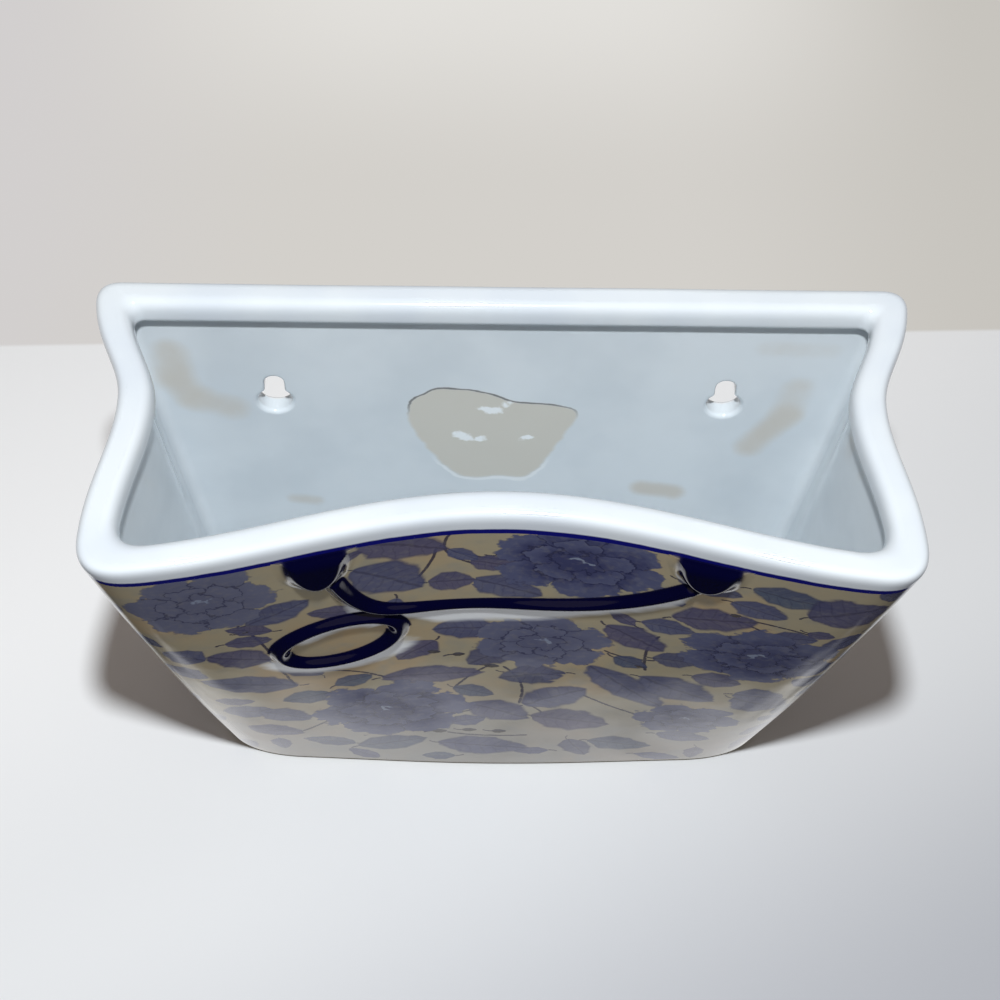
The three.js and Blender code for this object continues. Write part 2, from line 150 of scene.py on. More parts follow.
@dataclass(frozen=True)
class Plan:
    """Plan of the pocket's outside by height.

    Each pair is the size at the rim and at the table, apart from white_edge: how far inwards from the back
    corners the white back starts and where it is full.
    """

    belly: float = 0.7
    back: Pair = (111.0, 83.0)
    front: Pair = (107.5, 86.0)
    corner: Pair = (99.0, 47.5)
    middle: Pair = (79.3, 50.0)
    pinch: Pair = (8.0, 0.0)
    back_corner: Pair = (8.0, 9.0)
    front_corner: Pair = (13.0, 18.0)
    face_corner: Pair = (13.0, 27.0)
    waist_depth: float = 40.0
    waist_power: float = 1.6
    least_back_corner: float = 4.0
    least_front_corner: float = 10.0
    back_return: float = 14.0
    front_return: float = 20.0
    wall: float = 6.0
    white_edge: Pair = (1.0, 4.0)

    def at(self, z: Array) -> dict[str, Array]:
        """Return the plan's sizes at height z: an even change from rim to table, and a half wave of belly.

        Args:
            z: heights.

        Returns:
            Arrays like z, by name.
        """
        fall = 1.0 - z / LIP_TOP
        belly = self.belly * np.sin(np.pi * fall)
        bellied = ("back", "front", "corner", "middle")
        names = (*bellied, "pinch", "back_corner", "front_corner", "face_corner")
        sizes = {name: mix(*getattr(self, name), fall) for name in names}
        for name in bellied:
            sizes[name] = sizes[name] + belly
        sizes["waist"] = self.waist_depth * sizes["corner"] / self.corner[0]
        return sizes

    def side(self, p: dict, q: Array) -> tuple[Array, Array]:
        """Return the side wall's half-width at depth q and its slope.

        The width is a straight chord from back to front, less pinch times the power of a half cosine wave on
        each side of the waist.

        Args:
            p: sizes from at.
            q: depths.

        Returns:
            Half-widths and slopes.
        """
        reach = np.where(q < p["waist"], p["waist"], p["corner"] - p["waist"])
        share = np.minimum(np.abs(q - p["waist"]) / reach, 1.0)
        chord = (p["front"] - p["back"]) / p["corner"]
        wave = (1 + np.cos(np.pi * share)) / 2
        power = self.waist_power
        x = p["back"] + chord * q - p["pinch"] * wave**power
        steep = power * wave ** (power - 1) * np.pi / (2 * reach) * np.sin(np.pi * share)
        return x, chord + p["pinch"] * steep * np.sign(q - p["waist"])

    @staticmethod
    def face(p: dict, x: Array, inset: float) -> tuple[Array, Array]:
        """Return the front wall's depth at x and its slope: half a cosine wave from the middle to a corner.

        An inset surface lies inset further in, measured square to the outside.

        Args:
            p: sizes from at.
            x: places across.
            inset: how far in.

        Returns:
            Depths and slopes.
        """
        share = np.minimum(np.abs(x) / p["front"], 1.0)
        rise = p["corner"] - p["middle"]
        slope = rise * np.pi / p["front"] / 2 * np.sin(np.pi * share)
        depth = p["middle"] + rise * (1 - np.cos(np.pi * share)) / 2 - inset * np.hypot(1.0, slope)
        return depth, slope

    def trims(self, p: dict, inset: float) -> list[Array]:
        """Return how much the back, front and face corners trim off their walls, set in by inset."""
        rows = (("back_corner", self.least_back_corner), ("front_corner", self.least_front_corner),
                ("face_corner", self.least_front_corner))
        return [np.maximum(p[name] - CORNER_LOSS * inset, least) for name, least in rows]

    def outline(self, s: Array, z: Array, inset: float) -> tuple[Array, Array]:
        """Return x and q of the outline at height z, set in by inset.

        s runs once round the pocket in ten units: back, back corner, side, front corner and half the front
        on the right, then the same in reverse on the left.

        Args:
            s: places round.
            z: heights.
            inset: how far in.

        Returns:
            x and q.
        """
        s, z = np.broadcast_arrays(np.asarray(s, float), np.asarray(z, float))
        turn, mirror = fold(s)
        p = self.at(z)
        back_trim, front_trim, face_trim = self.trims(p, inset)
        q1, q2 = inset + back_trim, p["corner"] - inset - front_trim
        (x1, m1), (x2, m2) = self.side(p, q1), self.side(p, q2)
        x1, x2 = x1 - inset, x2 - inset
        back_x = x1 - m1 * back_trim
        face_x = p["front"] - inset - face_trim
        face_q, face_m = self.face(p, face_x, inset)
        corner_x = (x2 + m2 * (face_q - face_m * face_x - q2)) / (1 - m2 * face_m)
        corner_q = face_q + face_m * (corner_x - face_x)
        level = np.full_like(z, inset)
        q_side = mix(q1, q2, np.clip(turn - 2.0, 0, 1))
        x_face = face_x * (1 - np.clip(turn - FACE_FROM, 0, 1))
        spans = [
            [(back_x - back_trim) * np.clip(turn, 0, 1), level],
            bezier((back_x - back_trim, level), (back_x, level), (x1, q1), turn - 1.0),
            [self.side(p, q_side)[0] - inset, q_side],
            bezier((x2, q2), (corner_x, corner_q), (face_x, face_q), turn - 3.0),
            [x_face, self.face(p, x_face, inset)[0]],
        ]
        choice = np.minimum(np.floor(turn).astype(int), 4)
        x = np.choose(choice, [span[0] for span in spans])
        q = np.choose(choice, [span[1] for span in spans])
        return mirror * x, q

    def seam(self, z: Array, depth: Array, inset: float) -> Array:
        """Return the s at which the right side of the outline reaches that depth."""
        p = self.at(z)
        back_trim, front_trim, _ = self.trims(p, inset)
        q1, q2 = inset + back_trim, p["corner"] - inset - front_trim
        return 2.0 + (depth - q1) / (q2 - q1)

    def back_seam(self, z: Array, inset: float) -> Array:
        """Return the s of the join between the back wall and the right gusset."""
        return self.seam(z, np.full_like(z, self.back_return), inset)

    def front_seam(self, z: Array, inset: float) -> Array:
        """Return the s of the join between the right gusset and the front wall."""
        return self.seam(z, self.at(z)["corner"] - self.front_return, inset)

    def points(self, s: Array, z: Array, inset: float = 0.0) -> Array:
        """Return points in the pocket's frame: x, the back plane less q, and z."""
        x, q = self.outline(s, z, inset)
        return np.stack([x, BACK_PLANE - q, np.broadcast_to(z, x.shape)], axis=-1)

    def normals(self, s: Array, z: Array, inset: float = 0.0) -> Array:
        """Return outward normals: the cross product of the upward and the sideways step."""
        return facing(lambda a, b: self.points(a, b, inset), s, z)

    def behind(self, points: Array) -> Array:
        """Return how much a point belongs to the white back: 0 up to just round the back corners, then 1."""
        p = self.at(points[:, 2])
        inward = p["back"] - p["back_corner"] - np.abs(points[:, 0])
        return smooth_step(inward, *self.white_edge) * (points[:, 1] > BACK_PLANE - self.wall / 2)

    def chart(self, s: Array, z: Array) -> Array:
        """Return the print's flat coordinates: x on the front, then the distance round the corner, and z.

        Args:
            s: places round.
            z: heights.

        Returns:
            Two coordinates for each place.
        """
        steps = 24
        turn, mirror = fold(s)
        x, _ = self.outline(np.maximum(turn, FACE_FROM), z, 0.0)
        beyond = turn < FACE_FROM
        start, level = turn[beyond][:, None], np.broadcast_to(z, turn.shape)[beyond][:, None]
        route = self.points(mix(start, FACE_FROM, np.linspace(0, 1, steps)), level)
        x[beyond] += np.linalg.norm(np.diff(route[..., :2], axis=-2), axis=-1).sum(-1)
        return np.stack([mirror * x, np.broadcast_to(z, x.shape)], axis=-1)


def facing(surface: Surface, s: Array, z: Array) -> Array:
    """Return the outward normals of a surface of s and z, from its differences a small step to each side."""
    ds, dz = 2e-4, 0.02
    along = surface(s + ds, z) - surface(s - ds, z)
    up = surface(s, z + dz) - surface(s, z - dz)
    return unit(np.cross(up, along))


def columns(breaks: list, counts: list[int]) -> Array:
    """Return rows of s: each run between two breaks, which may differ by row, is cut into equal steps."""
    rows = max(np.size(b) for b in breaks)
    ends = [np.broadcast_to(np.reshape(b, (-1, 1)), (rows, 1)) for b in breaks]
    runs = [mix(a, b, np.arange(n) / n) for a, b, n in zip(ends, ends[1:], counts)]
    return np.concatenate([*runs, ends[-1]], axis=1)


def full_turn(counts: tuple[int, ...]) -> Array:
    """Return s once round the pocket, with that many steps on each part from the back to the front."""
    breaks = [0.0, 1.0, 2.0, 3.0, FACE_FROM, TURN - FACE_FROM, 7.0, 8.0, 9.0, TURN]
    return columns(breaks, [*counts, *counts[-2::-1]])[0, :-1]


def levels(*stops: Pair) -> Array:
    """Return heights from the first stop to the last, about a step apart.

    Args:
        stops: heights, each with the step above it; the last one's isn't used.

    Returns:
        Heights in rising order.
    """
    runs = []
    for (low, step), (high, _) in zip(stops, stops[1:]):
        count = max(1, round((high - low) / step))
        runs.append(np.linspace(low, high, count, endpoint=False))
    return np.concatenate([*runs, [stops[-1][0]]])


def grid_quads(ids: Array, outward: bool) -> Array:
    """Return the quads of a grid of point numbers, wound so that they face outward or inward."""
    quads = np.stack([ids[:-1, :-1], ids[1:, :-1], ids[1:, 1:], ids[:-1, 1:]], axis=-1).reshape(-1, 4)
    return quads if outward else quads[:, ::-1]


def wrap(ids: Array) -> Array:
    """Return rows of point numbers with each row's first one at its end again."""
    return np.concatenate([ids, ids[:, :1]], axis=1)


def border(ids: Array) -> tuple[Array, Array]:
    """Return the point numbers round a grid, and each one's share of the way along its side plus the side."""
    sides = [ids[0, :-1], ids[:-1, -1], ids[-1, :0:-1], ids[:0:-1, 0]]
    share = [k + np.arange(len(side)) / len(side) for k, side in enumerate(sides)]
    return np.concatenate(sides), np.concatenate(share)


def stitch(first: tuple, second: tuple) -> Array:
    """Return triangles that join two closed borders of different counts, walking both by their shares.

    Each step of one border makes a triangle with the point that the other has reached.

    Args:
        first: numbers and shares from border.
        second: the same of the other grid.

    Returns:
        Triangles of point numbers.
    """
    (a, at_a), (b, at_b) = first, second
    end_a, end_b = np.append(at_a[1:], 4.0), np.append(at_b[1:], 4.0)
    reached_b = np.searchsorted(end_b, end_a, side="left")
    reached_a = np.searchsorted(end_a, end_b, side="right")
    step_a = np.stack([a, np.roll(a, -1), b[reached_b % len(b)]], axis=1)
    step_b = np.stack([b, a[reached_a % len(a)], np.roll(b, -1)], axis=1)
    return np.concatenate([step_a, step_b])


@dataclass
class Patchwork:
    """Points and faces of one closed piece, gathered patch by patch."""

    points: list = field(default_factory=list)
    normals: list = field(default_factory=list)
    charts: list = field(default_factory=list)
    faces: list = field(default_factory=list)
    count: int = 0

    def add_points(self, points: Array, normals: Array | None = None,
                   chart: Array | None = None) -> Array:
        """Add points of any array shape and return their numbers in that shape.

        Args:
            points: an array of points.
            normals: shading normals, or None to take the faces' own.
            chart: the print's flat coordinates, or None.

        Returns:
            An array of point numbers.
        """
        shape = points.shape[:-1]
        flat = points.reshape(-1, 3)
        self.points.append(flat)
        self.normals.append(np.full_like(flat, np.nan) if normals is None else normals.reshape(-1, 3))
        self.charts.append(np.full((len(flat), 2), np.nan) if chart is None else chart.reshape(-1, 2))
        ids = self.count + np.arange(len(flat)).reshape(shape)
        self.count += len(flat)
        return ids

    def add_faces(self, corners: Array, skin: Skin, smooth: bool = True) -> None:
        """Add triangles or quads that share a skin."""
        if len(corners):
            self.faces.append((np.asarray(corners), skin, smooth))

    def surface(self, ids: Array, skin: Skin, outward: bool) -> None:
        """Add the quads of a grid of point numbers."""
        self.add_faces(grid_quads(ids, outward), skin)

    def close(self, outside: Array, inside: Array) -> None:
        """Join the borders of two grids of point numbers by a flat-shaded edge."""
        self.add_faces(stitch(border(outside), border(inside)), Skin.EDGE, False)

    def drop_unused(self) -> Array:
        """Drop points that no face uses and renumber the faces.

        Returns:
            The old numbers of the points kept.
        """
        used = np.unique(np.concatenate([corners.ravel() for corners, _, _ in self.faces]))
        renumbered = np.zeros(self.count, int)
        renumbered[used] = np.arange(len(used))
        for name in ("points", "normals", "charts"):
            setattr(self, name, [np.concatenate(getattr(self, name))[used]])
        self.faces = [(renumbered[corners], skin, smooth) for corners, skin, smooth in self.faces]
        self.count = len(used)
        return used


def face_normals(points: Array, corners: Array) -> Array:
    """Return each face's normal times twice its area, from its two diagonals or its two edges."""
    p = points[corners]
    if corners.shape[1] == 4:
        return np.cross(p[:, 2] - p[:, 0], p[:, 3] - p[:, 1])
    return np.cross(p[:, 1] - p[:, 0], p[:, 2] - p[:, 0])


def write_mesh(name: str, work: Patchwork, materials: list, pattern: "Pattern | None" = None,
               extra: dict | None = None) -> bpy.types.Object:
    """Write a piece's mesh, its shading normals, its print coordinates and its other point attributes.

    Args:
        name: the piece's name.
        work: its points and faces.
        materials: one for each skin that it has, in the order of Skin.
        pattern: the print, or None on a plain piece.
        extra: values for each point, by attribute name.

    Returns:
        The new object, linked to the scene.
    """
    used = work.drop_unused()
    points = np.concatenate(work.points)
    shading = np.concatenate(work.normals)
    chart = np.concatenate(work.charts)
    own = np.zeros_like(points)
    for corners, _, smooth in work.faces:
        if smooth:
            weight = face_normals(points, corners)
            for k in range(corners.shape[1]):
                np.add.at(own, corners[:, k], weight)
    shading = np.where(np.isnan(shading), unit(own), shading)

    loops = np.concatenate([c.ravel() for c, _, _ in work.faces])
    totals = np.concatenate([np.full(len(c), c.shape[1]) for c, _, _ in work.faces])
    mesh = bpy.data.meshes.new(name)
    mesh.vertices.add(len(points))
    mesh.vertices.foreach_set("co", (points * MM).astype(np.float32).ravel())
    mesh.loops.add(len(loops))
    mesh.loops.foreach_set("vertex_index", loops.astype(np.int32))
    mesh.polygons.add(len(totals))
    mesh.polygons.foreach_set("loop_start", (np.cumsum(totals) - totals).astype(np.int32))
    kinds = np.concatenate([np.full(len(c), skin.value) for c, skin, _ in work.faces])
    mesh.polygons.foreach_set("material_index", np.minimum(kinds, len(materials) - 1).astype(np.int32))
    mesh.polygons.foreach_set("use_smooth", np.ones(len(totals), bool))
    mesh.update(calc_edges=True)
    for material in materials:
        mesh.materials.append(material)

    corner_normals = []
    for corners, _, smooth in work.faces:
        flat = np.repeat(unit(face_normals(points, corners)), corners.shape[1], axis=0)
        corner_normals.append(shading[corners.ravel()] if smooth else flat)
    mesh.normals_split_custom_set(np.concatenate(corner_normals).astype(np.float32))

    for key, values in (extra or {}).items():
        attribute = mesh.attributes.new(key, "FLOAT", "POINT")
        attribute.data.foreach_set("value", values[used].astype(np.float32))
    if pattern is not None:
        for motif in Motif:
            parts = []
            for corners, skin, _ in work.faces:
                if skin is Skin.OUTSIDE:
                    parts.append(pattern.coordinates(motif, chart[corners]).reshape(-1, 3))
                else:
                    parts.append(np.full((corners.size, 3), pattern.outside))
            attribute = mesh.attributes.new(motif.value, "FLOAT_VECTOR", "CORNER")
            attribute.data.foreach_set("vector", np.concatenate(parts).astype(np.float32).ravel())
    piece = bpy.data.objects.new(name, mesh)
    bpy.context.scene.collection.objects.link(piece)
    return piece


def settle(piece: bpy.types.Object, slot: str, *nodes: str) -> None:
    """Let the piece ride on the body, stand for its nodes, and report it."""
    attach(piece, BODY)
    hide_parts(*nodes)
    LOG.info("%s: %d faces for %s", piece.name, len(piece.data.polygons), ", ".join(nodes))


@dataclass(frozen=True)
class Leaf:
    """A leaf of the print from its base to its tip, in the print's flat coordinates."""

    base: Pair
    tip: Pair
    width: float
    tone: float


@dataclass(frozen=True)
class Bloom:
    """A blossom of the print: its middle, half sizes, turn in degrees and tone."""

    middle: Pair
    half: Pair
    turn: float
    tone: float


@dataclass
class Pattern:
    """Blue blossoms, leaves and stems on a tan ground, laid out on the walls' flat coordinates.

    A leaf's stalk bends at stalk_bend behind its base and ends at stalk_end, stalk_aside to one side.
    """

    seed: int = 11
    outside: float = -9.0
    stem_reach: float = 2.5
    side_end: float = 196.0
    side_blooms: Pair = (118.0, 180.0)
    side_heights: Pair = (28.0, 138.0)
    side_half: Pair = (18.0, 17.0)
    bottom: float = 6.0
    top: float = 160.0
    fuller: float = 1.45
    longer: float = 0.06
    bloom_size: float = 1.05
    leaf_tones: Pair = (0.0, 0.8)
    fill_tries: int = 1500
    fill_length: Pair = (11.0, 21.0)
    fill_width: Pair = (0.5, 0.72)
    clearance: float = 0.36
    ring_clearance: float = 4.0
    stalk_bend: float = 1.2
    stalk_end: float = 2.2
    stalk_aside: float = 0.9
    end_weight: float = 4.0
    blooms: list = field(default_factory=list)
    leaves: list = field(default_factory=list)
    stems: list = field(default_factory=list)

    front_blooms = (
        (20, 149, 20.5, 18, 15, 0.0),
        (-78, 145, 17, 19, 40, 0.8),
        (72, 105, 20, 18, 70, 0.2),
        (12, 97, 17.5, 15.5, 0, 0.6),
        (-31, 48, 20.5, 20, 110, 0.0),
        (57, 45, 14, 12, 30, 0.1),
    )
    bare_ring: tuple = (-44.0, 105.7, 20.0, 15.0)
    front_leaves = (
        (-67, 126, -51, 136, 10), (-74, 113, -62, 113, 7), (-64, 97, -80, 104, 12), (-81, 102, -92, 107, 11),
        (-58, 74, -84, 81, 12), (-49, 65, -62, 60, 9), (-80, 49, -66, 53, 10), (-69, 51, -55, 42, 10),
        (-46, 71, -36, 77, 7), (-37, 165, -15, 155, 13), (-38, 149, -21, 134, 15), (-19, 136, -7, 136, 9),
        (-8, 147, 4, 144, 7), (-7, 136, 11, 127, 10), (-2, 106, -18, 106, 12), (3, 92, -8, 81, 10),
        (-18, 98, -28, 87, 9), (-32, 74, -4, 75, 10), (19, 76, 1, 71, 11), (30, 112, 46, 100, 11),
        (65, 153, 85, 149, 10), (61, 142, 75, 137, 9), (47, 125, 68, 131, 12), (81, 141, 99, 151, 17),
        (73, 123, 85, 124, 8), (82, 129, 89, 127, 5), (39, 118, 53, 117, 8), (44, 94, 56, 95, 9),
        (33, 91, 42, 86, 7), (42, 78, 63, 64, 14), (56, 84, 69, 81, 10), (69, 72, 83, 70, 12),
        (3, 75, 19, 74, 12), (-12, 64, -1, 58, 7), (-7, 51, 10, 40, 12), (9, 51, 26, 65, 12),
        (12, 42, 34, 37, 14), (-13, 36, -3, 40, 7), (-41, 15, -21, 23, 10), (-16, 19, 10, 15, 12),
        (27, 82, 49, 55, 11), (69, 68, 85, 60, 14), (-93, 92, -82, 85, 9), (-74, 34, -58, 28, 9),
        (30, 22, 48, 17, 10), (-62, 119, -73, 124, 6), (84, 88, 95, 80, 8), (50, 30, 66, 25, 8),
    )
    front_buds = (
        (-2, 150, 3, 151, 3.5), (-19, 29, -14, 29, 3.5), (-10, 30, -5, 30, 3.2), (-1, 29, 4, 29, 3.5),
        (-4, 80, 1, 79, 3.2), (-20, 91, -16, 90, 3), (-13, 88, -9, 88, 3), (-70, 120, -66, 121, 3),
        (38, 87, 42, 86, 3), (77, 118, 82, 119, 3), (60, 133, 64, 134, 3),
    )
    front_stems = (
        ((-13, 164), (-19, 154), (-8, 146)), ((-8, 146), (0, 142), (8, 143)),
        ((-16, 157), (-10, 149), (4, 147)), ((2, 79), (10, 68), (7, 52)),
        ((-2, 80), (-8, 74), (-12, 64)), ((63, 130), (70, 127), (76, 119)),
        ((66, 132), (76, 131), (86, 126)), ((30, 95), (36, 90), (44, 92)),
        ((44, 110), (40, 100), (42, 84)), ((-50, 84), (-38, 82), (-30, 72)),
        ((-70, 126), (-66, 118), (-62, 98)), ((-64, 97), (-60, 86), (-58, 74)),
        ((-13, 45), (-6, 44), (-6, 50)), ((8, 52), (16, 46), (13, 42)),
        ((-22, 140), (-18, 148), (-17, 156)), ((26, 60), (34, 52), (44, 46)),
        ((-50, 40), (-56, 32), (-60, 28)), ((-14, 28), (-4, 24), (10, 26)),
    )

    def __post_init__(self) -> None:
        """Lay out the front from the listed tables and the sides and gaps by a seeded scatter."""
        rng = np.random.default_rng(self.seed)
        for x, z, wide, tall, turn, tone in self.front_blooms:
            half = (wide * self.bloom_size, tall * self.bloom_size)
            self.blooms.append(Bloom((x, z), half, turn, tone))
        for row in self.front_leaves:
            base, tip = np.array(row[:2]), np.array(row[2:4])
            more = (tip - base) * self.longer
            self.leaves.append(Leaf(tuple(base - more), tuple(tip + more), row[4] * self.fuller,
                                    rng.uniform(*self.leaf_tones)))
        for row in self.front_buds:
            self.leaves.append(Leaf(row[:2], row[2:4], row[4], 1.0))
        for side in (-1, 1):
            for k in range(4):
                x = side * mix(*self.side_blooms, (k % 2) + rng.uniform(-0.1, 0.1))
                z = mix(*self.side_heights, (k + 0.3) / 3.3)
                self.blooms.append(Bloom((x, z), self.side_half, rng.uniform(0, 360), rng.uniform()))
        self.fill(rng)
        self.stems.extend(self.front_stems)
        for leaf in self.leaves:
            back = np.subtract(leaf.base, leaf.tip) / math.dist(leaf.base, leaf.tip)
            side = np.array([-back[1], back[0]]) * rng.choice([-1.0, 1.0])
            bend = np.add(leaf.base, back * self.stalk_bend)
            end = np.add(leaf.base, back * self.stalk_end + side * self.stalk_aside)
            self.stems.append((leaf.base, tuple(bend), tuple(end)))

    def fill(self, rng: np.random.Generator) -> None:
        """Scatter leaves over the sides and the front's bare places, clear of what is there.

        Args:
            rng: the source of the draws.
        """
        x, z, wide, tall = self.bare_ring
        wide, tall = wide + self.ring_clearance, tall + self.ring_clearance
        for _ in range(self.fill_tries):
            across = rng.uniform(-self.side_end, self.side_end)
            middle = np.array([across, rng.uniform(self.bottom, self.top)])
            length, turn = rng.uniform(*self.fill_length), rng.uniform(0, 2 * math.pi)
            clear_of_blooms = all(
                math.hypot(*(np.subtract(middle, b.middle) / np.add(b.half, length * self.clearance))) > 1.0
                for b in self.blooms
            )
            spaced = all(
                math.dist(middle, np.add(leaf.base, leaf.tip) / 2)
                > self.clearance * (length + math.dist(leaf.base, leaf.tip))
                for leaf in self.leaves
            )
            clear_of_ring = math.hypot((middle[0] - x) / wide, (middle[1] - z) / tall) > 1.0
            if clear_of_blooms and clear_of_ring and spaced:
                half = length / 2 * np.array([math.cos(turn), math.sin(turn)])
                width = length * rng.uniform(*self.fill_width)
                tone = rng.uniform(*self.leaf_tones)
                self.leaves.append(Leaf(tuple(middle - half), tuple(middle + half), width, tone))

    def leaf_frames(self, over: bool) -> tuple[Array, ...]:
        """Return base, direction, length, half-width and tone of every other leaf, so that leaves overlap.

        Args:
            over: whether to take the upper layer.

        Returns:
            Five arrays, a row for each leaf.
        """
        chosen = self.leaves[1::2] if over else self.leaves[0::2]
        base = np.array([leaf.base for leaf in chosen], float)
        run = np.array([leaf.tip for leaf in chosen], float) - base
        length = np.linalg.norm(run, axis=1)
        width = np.array([leaf.width for leaf in chosen]) / 2
        return base, run / length[:, None], length, width, np.array([leaf.tone for leaf in chosen])

    @staticmethod
    def leaf_place(points: Array, frames: tuple) -> Array:
        """Return each point's share along its leaf, its signed offset in half-widths and the leaf's tone.

        Args:
            points: flat coordinates.
            frames: the leaves, from leaf_frames.

        Returns:
            Three values for each point.
        """
        base, run, length, half, tone = frames
        d = points - base
        along = (d * run).sum(-1) / length
        across = (d[..., 1] * run[..., 0] - d[..., 0] * run[..., 1]) / half
        return np.stack([along, across, np.broadcast_to(tone, along.shape)], axis=-1)

    def coordinates(self, motif: Motif, corners: Array) -> Array:
        """Return the local coordinates that the print's material draws from, for each corner of each face.

        A face takes the motif that its middle lies deepest in, so every outline is drawn by the material
        from even coordinates and stays sharp at any mesh size.

        Args:
            motif: which of the print's layers.
            corners: flat coordinates, faces by corners by two.

        Returns:
            Faces by corners by three values.
        """
        middle = corners.mean(axis=1)[:, None, :]
        if motif is Motif.BLOOM:
            return self.bloom_coordinates(middle, corners)
        if motif is Motif.STEM:
            return self.stem_coordinates(middle, corners)
        frames = self.leaf_frames(motif is Motif.LEAF_OVER)
        place = self.leaf_place(middle, frames)
        along = place[..., 0]
        past = np.maximum(np.maximum(-along, along - 1.0), 0.0)
        depth = np.sin(np.pi * np.clip(along, 0, 1)) - np.abs(place[..., 1]) - self.end_weight * past
        best = depth.argmax(axis=1)
        chosen = tuple(f[best][:, None] for f in frames)
        return self.leaf_place(corners, chosen)

    def bloom_coordinates(self, middle: Array, corners: Array) -> Array:
        """Return x and y in the nearest blossom's turned frame, in its half sizes, and its tone.

        Args:
            middle: the faces' middles.
            corners: faces by corners by two.

        Returns:
            Faces by corners by three values.
        """
        centre = np.array([b.middle for b in self.blooms], float)
        half = np.array([b.half for b in self.blooms], float)
        turn = np.radians([b.turn for b in self.blooms])
        tone = np.array([b.tone for b in self.blooms])
        best = np.linalg.norm((middle - centre) / half, axis=-1).argmin(axis=1)
        d = (corners - centre[best][:, None]) / half[best][:, None]
        c, s = np.cos(turn[best])[:, None], np.sin(turn[best])[:, None]
        x, y = d[..., 0] * c + d[..., 1] * s, d[..., 1] * c - d[..., 0] * s
        return np.stack([x, y, np.broadcast_to(tone[best][:, None], x.shape)], axis=-1)

    def stem_coordinates(self, middle: Array, corners: Array) -> Array:
        """Return the signed distance from the nearest stem's line, the distance past its ends, and zero.

        Args:
            middle: the faces' middles.
            corners: faces by corners by two.

        Returns:
            Faces by corners by three values.
        """
        points, block = 9, 20000
        t = np.linspace(0, 1, points)
        routes = [np.stack(bezier(*stem, t), axis=1) for stem in self.stems]
        start = np.concatenate([r[:-1] for r in routes])
        run = np.concatenate([np.diff(r, axis=0) for r in routes])
        length = np.linalg.norm(run, axis=1)
        ahead = run / length[:, None]
        best = np.empty(len(middle), int)
        for low in range(0, len(middle), block):
            part = middle[low:low + block]
            along = np.clip(((part - start) * ahead).sum(-1), 0, length)
            gap = np.linalg.norm(part - start - along[..., None] * ahead, axis=-1)
            best[low:low + block] = gap.argmin(axis=1)
        d = corners - start[best][:, None]
        run_of, long = ahead[best][:, None], length[best][:, None]
        along = (d * run_of).sum(-1)
        across = d[..., 1] * run_of[..., 0] - d[..., 0] * run_of[..., 1]
        past = np.maximum(np.maximum(-along, along - long), 0.0)
        across = np.clip(across, -self.stem_reach, self.stem_reach)
        return np.stack([across, past, np.zeros_like(past)], axis=-1)


